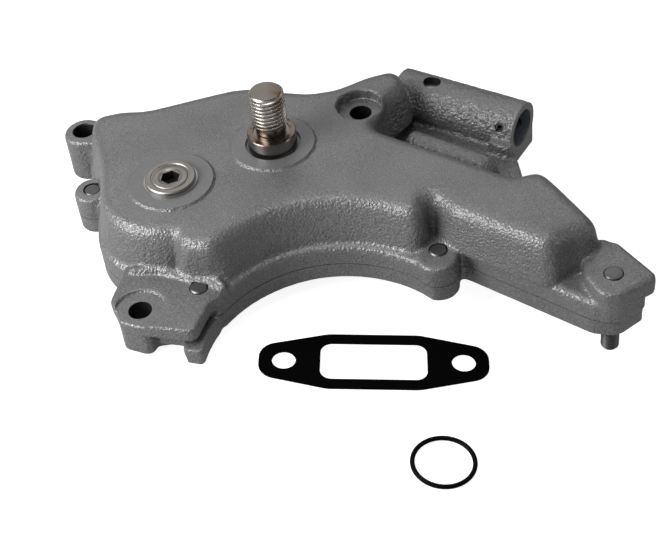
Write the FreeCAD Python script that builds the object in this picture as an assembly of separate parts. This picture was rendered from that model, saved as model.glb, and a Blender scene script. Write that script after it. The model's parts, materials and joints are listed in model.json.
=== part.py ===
import FreeCAD, Part
import math
import os

V = FreeCAD.Vector

# Levels above the rear face, in millimetres
COVER_T = 8.0            # rear cover thickness: the joint between cover and housing
RIM_H = 9.5              # housing rim above the joint
DOME_H = 22.5            # dome above the rim
FRONT_WALL = 10.0        # wall in front of the gears
SPOT_H = 1.0             # raised machined spot faces
RIM_Z = COVER_T + RIM_H
DOME_Z = RIM_Z + DOME_H
CHAMBER_Z = DOME_Z - FRONT_WALL
SPOT_Z = DOME_Z + SPOT_H

# Gears
MODULE = 3.6
TEETH = 14
PRESSURE_ANGLE = 25.0
ADDENDUM = 3.4
DEDENDUM = 4.1
TOOTH_PLAY = 0.14        # taken off each tooth at the pitch circle
TIP_GAP = 0.2
SIDE_GAP = 0.1
CENTRES = MODULE * TEETH
IDLER_BEARING = 201.1    # direction of the idler axis from the drive axis, degrees
PITCH_R = MODULE * TEETH / 2
TIP_R = PITCH_R + ADDENDUM
ROOT_R = PITCH_R - DEDENDUM
CHAMBER_R = TIP_R + TIP_GAP
GEAR_Z0 = COVER_T + SIDE_GAP
GEAR_W = CHAMBER_Z - COVER_T - 2 * SIDE_GAP
IX = CENTRES * math.cos(math.radians(IDLER_BEARING))
IY = CENTRES * math.sin(math.radians(IDLER_BEARING))

# Shafts, bushes and plug
RUN_GAP = 0.04           # radial running clearance
JOURNAL_R = 9.0
REAR_JOURNAL_R = 8.0
BUSH_WALL = 2.0
BUSH_BACK = 1.0          # the front bush stands back from the collar
BUSH_GAP = 0.2           # end play of the bushes
SHAFT_END_Z = 2.0        # rear end of both shafts, inside the cover
COLLAR_R = 11.2
COLLAR_H = 6.8
COLLAR_SINK = 1.7        # the collar's foot lies in a counterbore of the spot face
COLLAR_GAP = 1.6
COLLAR_FLOAT = 0.3       # the collar's foot clears its counterbore
COLLAR_GROOVE = 0.5
NECK_R = 6.9
NECK_L = 4.4
THREAD_R = 8.0
THREAD_L = 18.0
THREAD_CHAMFER = 1.1
KEY_W = 5.0
KEY_H = 5.0
KEY_L = 14.0
CIRCLIP_T = 1.0
CIRCLIP_WALL = 1.6
IDLER_PIN_R = 8.0
PIN_SEAT = 4.0           # idler pin held in the front wall
PLUG_R = 9.0
PLUG_L = 5.0
PLUG_HEAD_R = 11.5
PLUG_HEAD_H = 1.6
PLUG_HEX = 8.0           # across flats
PLUG_HEX_DEEP = 5.0
PLUG_RING_R = 8.3
WASHER_R = 12.2
WASHER_T = 0.8
SPOT_R = 19.0

# Housing walls
WALL = 4.2               # casting wall round the gear chamber at the top of the dome
DRAFT = 2.6              # how far the dome's foot stands out past its top
RIM_OUT = 4.0            # rim beyond the dome's top outline
DOME_FILLET = 7.0
RIM_ROUND = 2.6
LUG_ROUND = 2.0
ROUND_STEPS = 3          # strips in a rounded edge
MIN_ROUND = 0.4
ARCH_X = 16.5            # arch that clears the crankshaft
ARCH_Y = -108.0
ARCH_R = 57.8
ARCH_LEDGE = 6.0         # ledge between arch and dome
ARCH_DOME_R = ARCH_R + ARCH_LEDGE

# Suction arm and its flange
ARM_TIP_X = 136.5        # stud at the tip of the arm
ARM_TIP_Y = -94.5
FLANGE_ANGLE = 132.5     # direction of the second flange hole from the stud, degrees
FLANGE_PITCH = 78.0
WINDOW_L = 46.4
WINDOW_W = 21.4
WINDOW_R = 5.0
ENTRY_ROOF = 4.0
STUD_R = 4.0
STUD_TIP_Z = -19.0
STUD_PROUD = 0.7
STUD_CHAMFER = 1.0
STUD_CROWN = 0.6
STUD_NECK_R = 3.4        # relief between the stud's two threads
STUD_NECK_Z = (-1.0, 1.0)
TAP_R = 4.0
TAP_BOSS_R = 8.0
BEND_OUT = 15.0          # suction way that bends round the arch: outer edge past the dome
BEND_START = 64.0        # and its span in degrees
BEND_TURN = 56.0
TIP_LUG_Z = 25.0
TIP_LIP_T = 9.0

# Relief valve tube
TUBE_X = 117.6           # centre of the tube's mouth
TUBE_Y = 17.9
TUBE_Z = 16.5
TUBE_ANGLE = -35.8       # the tube's outward direction, degrees
TUBE_R = 12.75
TUBE_L = 66.0
VALVE_BACK = 10.0        # metal behind the valve bore, inside the tube
TUBE_FLAT = 11.5         # half width of the tube's square root, which reaches the rear face
EDGE_GAP = 0.5           # cover edge from the housing parts that reach down past it
WEB_Z = 11.5             # floor of the trough between arm and tube
RIDGE_R = 7.0            # ridge along the trough
RIDGE_Z = 14.5
RIDGE = ((64.0, 18.4), (95.0, -6.0))
RIB_L = 9.5              # rib under the tube's mouth
RIB_OUT = 5.0
VALVE_R = 9.2
VALVE_L = TUBE_L - VALVE_BACK
INLET_R = 5.5
INLET_L = 5.0
SPILL_R = 4.3
SPILL_S = 48.0           # spill hole from the mouth
PIN_S = 6.5              # roll pin from the mouth
PIN_R = 2.0
PIN_BORE_R = 1.2
PIN_TILT = 29.0
PIN_BACK = 0.6           # the roll pin ends inside the tube's wall
PISTON_L = 17.0
PISTON_WALL = 2.4
PISTON_END = 3.0
PISTON_REST = 0.3        # piston's end from the valve bore's end
SPRING_R = 5.6
SPRING_WIRE = 1.6        # square wire
SPRING_TURNS = 6
SPRING_PLAY = 0.1
SEAT_T = 3.0
SEAT_NOSE_R = 4.2
SEAT_NOSE_L = 3.0

# Fasteners, ports and seals
MOUNT_R = 5.25
MOUNT_HEAD_R = 10.8
MOUNT_HEAD_DEEP = 5.5
SCREW_R = 4.0
SCREW_HEAD_R = 7.0
SCREW_HEAD_H = 4.2
SCREW_HEX = 5.0
SCREW_HEX_DEEP = 2.6
SCREW_CHAMFER = 0.6
SCREW_SINK = 0.3
SCREW_DRILL = 1.0        # hole past the screw's end
PAD_SCREW_PROUD = 0.7
PAD_RECESS_R = 11.3      # lower flat round the bolt hole in the pad
PAD_RECESS = 1.3
DOWEL_R = 3.0
DOWEL_L = 12.0
OUTLET_X = -50.0
OUTLET_Y = 26.0
OUTLET_R = 9.0
POCKET = (-33.0, 19.0)
POCKET_R = 10.0
PORT_SHORT = 6.0         # ports end this far below the chamber's roof
RING_SECTION_R = 1.0
RING_R = 12.8            # O-ring centre line
RING_SIDES = 12
RING_SEAT_DEEP = 1.5
RING_SEAT_GAP = 0.3
RING_AT = (55.1, -155.2, 0.0)
GASKET_AT = (32.7, -96.4, -6.0)
GASKET_T = 0.8
GASKET_W = 32.1
GASKET_END_R = 8.6
GASKET_END = 11.0        # gasket past its holes
GASKET_SHOULDER = 20.0
GASKET_HOLE_R = 5.2
SLIT = 0.8               # slit of the roll pin and gap of the circlip
FIT = 0.15               # clearance where one fixed piece lies inside another

# Lugs: centre x, centre y, top level, radius
HIGH_LUG = (-92.4, 49.2, 23.0, 9.8)
REST_LUG = (6.0, 7.8)    # point of the high lug's foot that the pump leans on
LEFT_LUG = (-87.8, 8.4, 19.5, 8.7)
ARCH_LUG = (66.8, -60.6, 18.5, 9.3)
ARCH_LUG_SHIFT = (-0.8, -3.5)
PAD_SCREW = (-38.9, -65.2)
FAR_BOLT = (41.9, 21.7)
LOW_BOLT = (-64.8, -73.3)
PAD_Z = 18.0
PAD_T = 7.0
PAD_ROUND = 1.2
BACK_SCREW = (19.0, 38.0)
ARM_SCREW = (90.0, -2.1)
DOWELS = ((-74.0, 26.0), (47.0, -8.0))
TAB_STEP = (13.0, 12.0, 3.0)
TAB_STEP_X = -60.0       # corner of the step under the cover's tab
TAB_STEP_Y = -92.0

DOME_R = CHAMBER_R + WALL


def arch_point(radius, angle, corner):
    """Corner at a distance and direction from the arch's centre."""
    a = math.radians(angle)
    return (ARCH_X + radius * math.cos(a), ARCH_Y + radius * math.sin(a), corner)


def arch_corner(radius, start, end):
    """Concave corner of an outline that follows the arch between two directions in degrees."""
    middle = math.radians((start + end) / 2)
    reach = radius / math.cos(math.radians((start - end) / 2))
    return (ARCH_X + reach * math.cos(middle), ARCH_Y + reach * math.sin(middle), radius)


def arch_end(radius, angle, past, corner):
    """Corner where an outline leaves the arch at a direction, a little past it on the tangent."""
    a = math.radians(angle)
    side = 1 if angle > 90 else -1
    x = ARCH_X + radius * math.cos(a) - side * past * math.sin(a)
    y = ARCH_Y + radius * math.sin(a) + side * past * math.cos(a)
    return (x, y, corner)


# Casting outlines, counter-clockwise: x, y, corner radius
DOME = (
    (IX - DOME_R, IY - DOME_R, DOME_R), (-46.2, IY - DOME_R, 0.8), (-44.5, -58.5, 6.0),
    arch_end(ARCH_DOME_R, 132.0, 5.0, 6.0), arch_corner(ARCH_DOME_R, 132.0, 57.0),
    arch_end(ARCH_DOME_R, 57.0, 9.7, 5.3), arch_point(ARCH_DOME_R + 16.5, 52.3, 3.0), (73.4, -58.0, 12.0),
    (110.5, -88.8, 6.0), (121.0, -82.5, 9.0), (135.5, -79.5, 6.0), (122.0, -48.0, 12.0),
    (116.5, -37.0, 6.0), (104.0, -39.5, 9.0), (46.6, 6.0, 6.0), (53.2, 21.5, 9.0),
    (65.5, 34.0, 7.0), (63.0, 49.0, 6.0), (46.0, 45.5, 16.0), (31.0, 38.8, 20.0),
    (19.0, 38.6, 12.0), (6.0, 42.6, 14.0), (-7.5, 48.2, 9.0), (-17.5, 48.6, 9.0),
    (-59.0, 40.6, 20.0), (-70.0, 42.4, 9.0), (-85.5, 40.6, 7.0), (-86.0, 27.0, 30.0),
    (-81.0, 4.0, 40.0),
)
RIM = (
    (IX - DOME_R - RIM_OUT, IY - DOME_R - RIM_OUT, DOME_R + RIM_OUT), (-46.0, -56.5, 3.0),
    (-44.5, -72.0, 4.0), (-30.5, -74.0, 5.0), (-23.0, -66.5, 6.0), (60.0, -66.5, 6.0),
    (76.5, -60.2, 8.0), (126.5, -104.0, 9.0), (136.5, -107.0, 8.0), (150.0, -98.8, 3.0),
    (139.5, -78.0, 6.0), (128.5, -52.0, 12.0), (121.0, -34.0, 8.0), (113.0, -19.0, 12.0),
    (112.5, 6.0, 6.0), (124.6, 27.6, 3.0), (66.0, 69.3, 5.0), (50.0, 50.0, 12.0),
    (32.0, 43.0, 20.0), (19.0, 42.4, 12.0), (5.0, 46.5, 14.0), (-7.5, 52.0, 9.0),
    (-18.5, 52.4, 9.0), (-59.0, 44.6, 20.0), (-70.0, 46.4, 9.0), (-89.5, 44.6, 9.0),
    (-90.0, 27.0, 30.0), (-85.5, 4.0, 40.0),
)
PAD = (
    (-71.0, -45.0, 4.0), (-78.0, -66.0, 3.0), (-73.5, -78.5, 5.0), (-62.0, -85.0, 3.0),
    (-41.5, -91.5, 4.0), (-38.0, -83.0, 6.0), (-34.5, -75.5, 4.0), (-29.0, -70.5, 3.0),
    (-28.0, -60.0, 4.0),
)
FOOT = (
    (-69.5, -56.0, 4.0), (-75.5, -70.0, 5.0), (-74.0, -79.0, 4.5), (-62.3, -85.2, 3.5),
    (-57.5, -76.0, 5.0), (-56.0, -56.0, 3.0),
)
TIP_LUG = (
    (126.0, -84.0, 3.0), (124.5, -93.0, 3.0), (129.0, -106.5, 7.0), (137.0, -108.0, 6.0),
    (150.5, -99.8, 3.5), (141.5, -77.0, 3.0), (136.0, -70.0, 3.0),
)
TIP_LIP = (
    (130.0, -90.0, 3.0), (132.0, -107.0, 6.0), (139.0, -106.5, 6.0), (155.2, -99.5, 4.0),
    (142.6, -76.0, 2.5), (136.0, -72.0, 3.0),
)
COVER_TAB = (
    (-58.0, -60.0, 3.0), (-59.0, -82.0, 2.0), (-47.0, -85.5, 2.0), (-47.8, -91.5, 1.5),
    (-40.0, -94.4, 2.0), (-33.0, -78.5, 3.0), (-27.0, -64.0, 3.0),
)
TROUGH = (
    (52.5, 6.0, 4.0), (108.5, -38.6, 3.0), (140.0, -34.0, 3.0), (140.0, 30.0, 3.0),
    (66.0, 80.0, 3.0), (60.0, 44.0, 3.0), (57.0, 22.0, 8.0),
)
SUCTION_CORE = (
    (44.0, -47.0, 4.0), (58.0, -39.5, 5.0), (71.0, -39.5, 3.0), (76.5, -53.0, 4.0),
    (108.0, -79.0, 4.0), (123.5, -74.0, 4.0), (114.0, -47.0, 5.0), (104.0, -46.0, 5.0),
    (76.0, -27.0, 5.0), (58.0, -24.0, 5.0), (40.0, -33.0, 4.0),
)
GALLERY = ((-31.0, 24.0), (-8.0, 35.5), (38.0, 34.5))
GALLERY_R = 4.0
GALLERY_Z = 16.5


def rounded_wire(corners, z):
    """Closed wire at level z through corners (x, y, radius), each corner an arc."""
    count = len(corners)
    spans = []
    for i in range(count):
        p = V(corners[i][0], corners[i][1], z)
        a = V(corners[i - 1][0], corners[i - 1][1], z) - p
        b = V(corners[(i + 1) % count][0], corners[(i + 1) % count][1], z) - p
        a.normalize()
        b.normalize()
        half = a.getAngle(b) / 2
        reach = corners[i][2] / math.tan(half)
        middle = a + b
        middle.normalize()
        centre = p + middle * (corners[i][2] / math.sin(half))
        spans.append((p + a * reach, centre - middle * corners[i][2], p + b * reach))
    edges = []
    for i in range(count):
        start, middle, end = spans[i]
        edges.append(Part.Arc(start, middle, end).toShape())
        edges.append(Part.LineSegment(end, spans[(i + 1) % count][0]).toShape())
    return Part.Wire(edges)


def grown(corners, amount):
    """The same corners moved outwards by amount, for a counter-clockwise outline."""
    count = len(corners)
    moved = []
    for i in range(count):
        x, y, r = corners[i]
        before = V(x - corners[i - 1][0], y - corners[i - 1][1], 0)
        after = V(corners[(i + 1) % count][0] - x, corners[(i + 1) % count][1] - y, 0)
        before.normalize()
        after.normalize()
        out = V(before.y + after.y, -before.x - after.x, 0)
        reach = amount / (1 + before.dot(after))
        turn = before.x * after.y - before.y * after.x
        radius = max(r + amount, MIN_ROUND) if turn > 0 else max(r - amount, MIN_ROUND)
        moved.append((x + out.x * reach, y + out.y * reach, radius))
    return moved


def slab(corners, z0, z1):
    """Upright prism on a rounded outline."""
    return Part.Face(rounded_wire(corners, z0)).extrude(V(0, 0, z1 - z0))


def crowned(corners, z0, z1, out, edge):
    """Prism whose foot at z0 stands out past its top outline at z1, with a rounded top edge."""
    side = [(z0, out)]
    for i in range(ROUND_STEPS + 1):
        turn = math.radians(90 * i / ROUND_STEPS)
        side.append((z1 - edge * (1 - math.sin(turn)), -edge * (1 - math.cos(turn))))
    wires = [rounded_wire(grown(corners, step), z) for z, step in side]
    return Part.makeLoft(wires, True, True)


def soft_top(solid, z1, r):
    """The same upright solid with the edges of its top face at z1 rounded."""
    edges = [edge for edge in solid.Edges if abs(edge.BoundBox.ZMin - z1) < 0.001]
    return solid.makeFillet(r, edges)


def disc(x, y, r, z0, z1):
    return Part.makeCylinder(r, z1 - z0, V(x, y, z0))


def ring(x, y, r_in, r_out, z0, z1):
    return disc(x, y, r_out, z0, z1).cut(disc(x, y, r_in, z0 - 1, z1 + 1))


def turned(x, y, profile):
    """Solid turned about an upright axis from (radius, level) points."""
    points = [V(r, 0, z) for r, z in profile]
    face = Part.Face(Part.makePolygon(points + points[:1]))
    solid = face.revolve(V(0, 0, 0), V(0, 0, 1), 360)
    solid.translate(V(x, y, 0))
    return solid


def hexagon(across, x, y, z0, z1):
    r = across / 2 / math.cos(math.pi / 6)
    turns = [math.pi / 3 * i for i in range(6)]
    corner = [V(r * math.cos(a), r * math.sin(a), 0) for a in turns]
    solid = Part.Face(Part.makePolygon(corner + corner[:1])).extrude(V(0, 0, z1 - z0))
    solid.translate(V(x, y, z0))
    return solid


def fuse(shapes):
    body = shapes[0].multiFuse(shapes[1:])
    return body.removeSplitter()


def along_tube(s0, s1, r):
    """Cylinder on the valve axis between two distances from the mouth, measured inwards."""
    return Part.makeCylinder(r, s1 - s0, tube_point(s0, 0, 0), -tube_way())


def tube_way():
    a = math.radians(TUBE_ANGLE)
    return V(math.cos(a), math.sin(a), 0)


def tube_side():
    way = tube_way()
    return V(-way.y, way.x, 0)


def tube_point(s, u, z):
    """Point s inwards from the mouth, u sideways and z above the valve axis."""
    return V(TUBE_X, TUBE_Y, TUBE_Z + z) - tube_way() * s + tube_side() * u


def pin_way():
    """Direction of the roll pin, across the valve axis."""
    tilt = math.radians(PIN_TILT)
    return tube_side() * math.cos(tilt) - V(0, 0, math.sin(tilt))


def rail(points, r, z):
    """Drilled passage along a run of points at one level, with round ends."""
    shapes = []
    for a, b in zip(points, points[1:]):
        start = V(a[0], a[1], z)
        run = V(b[0], b[1], z) - start
        shapes.append(Part.makeCylinder(r, run.Length, start, run))
    for x, y in points:
        shapes.append(Part.makeSphere(r, V(x, y, z)))
    return shapes


def flange_points():
    """Stud, second flange hole, and the middle between them."""
    a = math.radians(FLANGE_ANGLE)
    far = V(ARM_TIP_X + FLANGE_PITCH * math.cos(a), ARM_TIP_Y + FLANGE_PITCH * math.sin(a), 0)
    stud = V(ARM_TIP_X, ARM_TIP_Y, 0)
    return stud, far, (stud + far) / 2


def rectangle(half_x, half_y, r, z0, z1):
    """Prism on a rounded rectangle about the origin."""
    corners = ((-half_x, -half_y, r), (half_x, -half_y, r), (half_x, half_y, r), (-half_x, half_y, r))
    return slab(corners, z0, z1)


def flange_window(z0, z1):
    """Suction window through the cover, in line with the two flange holes."""
    solid = rectangle(WINDOW_L / 2, WINDOW_W / 2, WINDOW_R, z0, z1)
    middle = flange_points()[2]
    solid.rotate(V(0, 0, 0), V(0, 0, 1), FLANGE_ANGLE)
    solid.translate(V(middle.x, middle.y, 0))
    return solid


def dome():
    return crowned(DOME, RIM_Z - 1, DOME_Z, DRAFT, DOME_FILLET)


def tube_box(s0, s1, u0, u1, z0, z1):
    """Upright box between distances from the mouth and distances sideways from the valve axis."""
    box = Part.makeBox(s1 - s0, u1 - u0, z1 - z0, V(-s1, u0, z0))
    box.rotate(V(0, 0, 0), V(0, 0, 1), TUBE_ANGLE)
    box.translate(V(TUBE_X, TUBE_Y, 0))
    return box


def tube_notch():
    """Space that the cover leaves for the tube, out past its far side and its mouth."""
    inner = TUBE_R + EDGE_GAP
    return tube_box(-TUBE_L, TUBE_L + EDGE_GAP, -inner, 3 * TUBE_R, -COVER_T, 2 * COVER_T)


def tube():
    """Relief valve tube: round on top, with a square root down to the rear face."""
    return along_tube(0, TUBE_L, TUBE_R).fuse(tube_box(0, TUBE_L, -TUBE_FLAT, TUBE_FLAT, 0, TUBE_Z))


def lug(spec, z0):
    x, y, top, r = spec
    return soft_top(disc(x, y, r, z0, top), top, LUG_ROUND)


def left_lugs():
    """The high mounting lug and the screw lug, each with a neck into the rim."""
    x, y, top, r = HIGH_LUG
    back = ((x - 4, y - r + 1, 2), (-78.0, 36.0, 2), (-78.0, 44.0, 2), (x + 6, y + r - 2.5, 3))
    side = x + r + 4
    front = ((x, y - r + 2, 2), (side, y - r - 2, 2), (side, y + 2, 2), (x, y + r - 2, 2))
    necks = [slab(back, COVER_T, top), slab(front, COVER_T, top)]
    lx, ly, ltop, lr = LEFT_LUG
    stem = Part.makeBox(lr, 2 * lr - 2, ltop - COVER_T - LUG_ROUND, V(lx, ly - lr + 1, COVER_T))
    return [lug(HIGH_LUG, 0), lug(LEFT_LUG, COVER_T), stem] + necks


def arch_lug():
    """Screw lug beside the arch, drawn out a little towards the front."""
    x, y, top, r = ARCH_LUG
    front = disc(x + ARCH_LUG_SHIFT[0], y + ARCH_LUG_SHIFT[1], r, COVER_T, top)
    return [lug(ARCH_LUG, COVER_T), soft_top(front, top, LUG_ROUND)]


def tip_lug():
    """Stud lug at the tip of the arm, with a lip that stands out past the casting below it."""
    body = soft_top(slab(TIP_LUG, COVER_T, TIP_LUG_Z), TIP_LUG_Z, LUG_ROUND)
    lip = soft_top(slab(TIP_LIP, TIP_LUG_Z - TIP_LIP_T, TIP_LUG_Z), TIP_LUG_Z, LUG_ROUND)
    return [body, lip]


def ridge():
    """Rounded ridge along the trough, ending in a round nose."""
    a = V(RIDGE[0][0], RIDGE[0][1], RIDGE_Z)
    b = V(RIDGE[1][0], RIDGE[1][1], RIDGE_Z)
    bar = Part.makeCylinder(RIDGE_R, (b - a).Length, a, b - a)
    return bar.fuse(Part.makeSphere(RIDGE_R, b)).cut(disc(0, 0, 10 * TUBE_L, -10 * COVER_T, COVER_T))


def rib():
    """Flat-faced rib that carries the tube's mouth."""
    return tube_box(0, RIB_L, -TUBE_R - RIB_OUT, 0, COVER_T, RIM_Z)


def arch_tool(r, z0, z1, edge):
    """Space of the arch below a level, flared at the top by a rounded edge."""
    tool = disc(ARCH_X, ARCH_Y, r + edge, z0, z1 + 1)
    collar = ring(ARCH_X, ARCH_Y, r, r + 2 * edge, z0 - 1, z1)
    limit = ARCH_X + r + edge / 2
    lip = [e for e in collar.Edges if abs(e.BoundBox.ZMin - z1) < 0.001 and e.BoundBox.XMax < limit]
    return tool.cut(collar.makeFillet(edge, lip))


def rim():
    """Flat rim round the dome, with the trough between arm and tube cut down into it."""
    body = crowned(RIM, COVER_T, RIM_Z, 0, RIM_ROUND)
    return body.cut([arch_tool(ARCH_R, COVER_T - 1, RIM_Z, RIM_ROUND), slab(TROUGH, WEB_Z, RIM_Z + 1)])


def pad():
    """Thick plate at the lower left, with a lower flat round its bolt hole."""
    plate = soft_top(slab(PAD, PAD_Z - PAD_T, PAD_Z), PAD_Z, PAD_ROUND)
    block = soft_top(slab(FOOT, 0, PAD_Z), PAD_Z, PAD_ROUND)
    recess = disc(LOW_BOLT[0], LOW_BOLT[1], PAD_RECESS_R, PAD_Z - PAD_RECESS, PAD_Z + 1)
    return plate.cut(disc(ARCH_X, ARCH_Y, ARCH_R, 0, DOME_Z)).fuse(block).cut(recess)


def housing_castings():
    """All raw metal of the housing, its faces merged only after the bores are cut."""
    spots = [disc(0, 0, SPOT_R, DOME_Z - 2, SPOT_Z), disc(IX, IY, SPOT_R, DOME_Z - 2, SPOT_Z)]
    main = [rim(), dome(), tube(), pad(), ridge(), rib()]
    return main[0].multiFuse(main[1:] + spots + arch_lug() + left_lugs() + tip_lug())


def suction_passage():
    """Cored way from the flange window to the mesh of the gears, between chamber and arch."""
    entry = flange_window(COVER_T - 1, RIM_Z - ENTRY_ROOF)
    centre = V(ARCH_X, ARCH_Y, COVER_T)
    outer = Part.makeCylinder(ARCH_DOME_R + BEND_OUT, CHAMBER_Z - COVER_T, centre, V(0, 0, 1), BEND_TURN)
    inner = disc(ARCH_X, ARCH_Y, ARCH_DOME_R + WALL, COVER_T - 1, CHAMBER_Z + 1)
    outer.rotate(centre, V(0, 0, 1), BEND_START)
    far = flange_points()[1]
    boss = disc(far.x, far.y, TAP_BOSS_R, 0, DOME_Z)
    return [entry, slab(SUCTION_CORE, COVER_T, CHAMBER_Z).cut(boss), outer.cut(inner)]


def pressure_passage():
    """Cored way from the other side of the mesh to the outlet and to the relief valve."""
    pocket = disc(POCKET[0], POCKET[1], POCKET_R, COVER_T - 1, CHAMBER_Z - PORT_SHORT)
    outlet = disc(OUTLET_X, OUTLET_Y, OUTLET_R, COVER_T - 1, CHAMBER_Z - PORT_SHORT)
    last = tube_point(VALVE_L + INLET_L, 0, 0)
    return [pocket, outlet] + rail(GALLERY + ((last.x, last.y),), GALLERY_R, GALLERY_Z)


def valve_bores():
    spill = tube_point(SPILL_S, 0, 0)
    start = tube_point(PIN_S, 0, 0) - pin_way() * 2 * TUBE_R
    return [
        along_tube(-TUBE_R, VALVE_L, VALVE_R),
        along_tube(VALVE_L - 1, VALVE_L + INLET_L, INLET_R),
        Part.makeCylinder(SPILL_R, 2 * TUBE_R, spill),
        Part.makeCylinder(PIN_R, 4 * TUBE_R, start, pin_way()),
    ]


def shaft_bores():
    bush_r = JOURNAL_R + BUSH_WALL
    plug_seat = SPOT_Z - PLUG_L - 1
    return [
        disc(0, 0, CHAMBER_R, COVER_T - 1, CHAMBER_Z),
        disc(IX, IY, CHAMBER_R, COVER_T - 1, CHAMBER_Z),
        disc(0, 0, bush_r, CHAMBER_Z - 1, SPOT_Z - COLLAR_SINK),
        disc(0, 0, COLLAR_R + COLLAR_GAP, SPOT_Z - COLLAR_SINK, SPOT_Z + 1),
        disc(IX, IY, IDLER_PIN_R, CHAMBER_Z - 1, plug_seat + 1),
        disc(IX, IY, PLUG_R, plug_seat, SPOT_Z + 1),
    ]


def screw_places():
    """Centre and end level of each cover screw."""
    return (
        (LEFT_LUG[0], LEFT_LUG[1], LEFT_LUG[2] - SCREW_SINK),
        (PAD_SCREW[0], PAD_SCREW[1], PAD_Z + PAD_SCREW_PROUD),
        (ARCH_LUG[0], ARCH_LUG[1], ARCH_LUG[2] + SCREW_SINK),
        (BACK_SCREW[0], BACK_SCREW[1], RIM_Z),
        (ARM_SCREW[0], ARM_SCREW[1], RIM_Z),
    )


def front_housing():
    body = housing_castings()
    tools = suction_passage() + pressure_passage() + valve_bores() + shaft_bores()
    head_z = DOME_Z - MOUNT_HEAD_DEEP
    tools.append(disc(FAR_BOLT[0], FAR_BOLT[1], MOUNT_R, 0, DOME_Z + 1))
    tools.append(disc(FAR_BOLT[0], FAR_BOLT[1], MOUNT_HEAD_R, head_z, DOME_Z + 1))
    tools.append(disc(HIGH_LUG[0], HIGH_LUG[1], MOUNT_R, -1, HIGH_LUG[2] + 1))
    tools.append(disc(LOW_BOLT[0], LOW_BOLT[1], MOUNT_R, -1, PAD_Z + 1))
    for x, y, end in screw_places():
        tools.append(disc(x, y, SCREW_R, COVER_T - 1, end + SCREW_DRILL))
    for x, y in DOWELS:
        tools.append(disc(x, y, DOWEL_R, COVER_T - 1, COVER_T + DOWEL_L / 2))
    tools.append(disc(ARM_TIP_X, ARM_TIP_Y, STUD_R, COVER_T - 1, TIP_LUG_Z + 1))
    far = flange_points()[1]
    tools.append(disc(far.x, far.y, TAP_R, COVER_T - 1, RIM_Z))
    return body.cut(tools).removeSplitter()


def rear_cover():
    body = slab(RIM, 0, COVER_T)
    tab = slab(COVER_TAB, 0, COVER_T)
    arch = disc(ARCH_X, ARCH_Y, ARCH_R, -1, COVER_T + 1)
    ears = [disc(x, y, r, 0, COVER_T) for x, y, _, r in (ARCH_LUG, LEFT_LUG)]
    ear_x = ARCH_LUG[0] + ARCH_LUG_SHIFT[0]
    ear_y = ARCH_LUG[1] + ARCH_LUG_SHIFT[1]
    ears.append(disc(ear_x, ear_y, ARCH_LUG[3], 0, COVER_T))
    body = body.fuse([tab] + ears)
    tools = [arch, slab(grown(FOOT, EDGE_GAP), -1, COVER_T + 1)]
    tools.append(disc(HIGH_LUG[0], HIGH_LUG[1], HIGH_LUG[3] + EDGE_GAP, -1, COVER_T + 1))
    tools.append(Part.makeBox(*TAB_STEP, V(TAB_STEP_X, TAB_STEP_Y, -0.001)))
    tools.append(flange_window(-1, COVER_T + 1))
    tools.append(tube_notch())
    tools.append(disc(0, 0, REAR_JOURNAL_R + BUSH_WALL, SHAFT_END_Z - BUSH_GAP, COVER_T + 1))
    tools.append(disc(IX, IY, IDLER_PIN_R, SHAFT_END_Z, COVER_T + 1))
    tools.append(disc(FAR_BOLT[0], FAR_BOLT[1], MOUNT_R, -1, COVER_T + 1))
    tools.append(disc(OUTLET_X, OUTLET_Y, OUTLET_R, -1, COVER_T + 1))
    tools.append(disc(OUTLET_X, OUTLET_Y, RING_R + RING_SECTION_R + RING_SEAT_GAP, -1, RING_SEAT_DEEP))
    tools.append(disc(ARM_TIP_X, ARM_TIP_Y, STUD_R, -1, COVER_T + 1))
    far = flange_points()[1]
    tools.append(disc(far.x, far.y, TAP_R, -1, COVER_T + 1))
    for x, y, end in screw_places():
        tools.append(disc(x, y, SCREW_R, -1, COVER_T + 1))
        tools.append(Part.makeCone(SCREW_HEAD_R + FIT, SCREW_R + FIT, SCREW_HEAD_H, V(x, y, -0.001)))
    for x, y in DOWELS:
        tools.append(disc(x, y, DOWEL_R, COVER_T - DOWEL_L / 2, COVER_T + 1))
    return body.cut(tools)


def cover_screws():
    """Countersunk socket screws from the rear face, each with a chamfered end."""
    screws = []
    for x, y, end in screw_places():
        head = Part.makeCone(SCREW_HEAD_R, SCREW_R, SCREW_HEAD_H, V(x, y, FIT))
        shank = disc(x, y, SCREW_R, FIT, end - SCREW_CHAMFER)
        tip = Part.makeCone(SCREW_R, SCREW_R - SCREW_CHAMFER, SCREW_CHAMFER, V(x, y, end - SCREW_CHAMFER))
        socket = hexagon(SCREW_HEX, x, y, -1, FIT + SCREW_HEX_DEEP)
        screws.append(fuse([head, shank, tip]).cut(socket))
    return Part.makeCompound(screws)


def tooth_flank(side, turn):
    """Involute flank as an arc through three points, from the base circle to the tip."""
    alpha = math.radians(PRESSURE_ANGLE)
    base = PITCH_R * math.cos(alpha)
    half = (math.pi * MODULE / 2 - TOOTH_PLAY) / 2 / PITCH_R + math.tan(alpha) - alpha
    points = []
    for r in (base, (base + TIP_R) / 2, TIP_R):
        phi = math.acos(min(base / r, 1.0))
        angle = turn + side * (half - math.tan(phi) + phi)
        points.append(V(r * math.cos(angle), r * math.sin(angle), 0))
    return points


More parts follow.
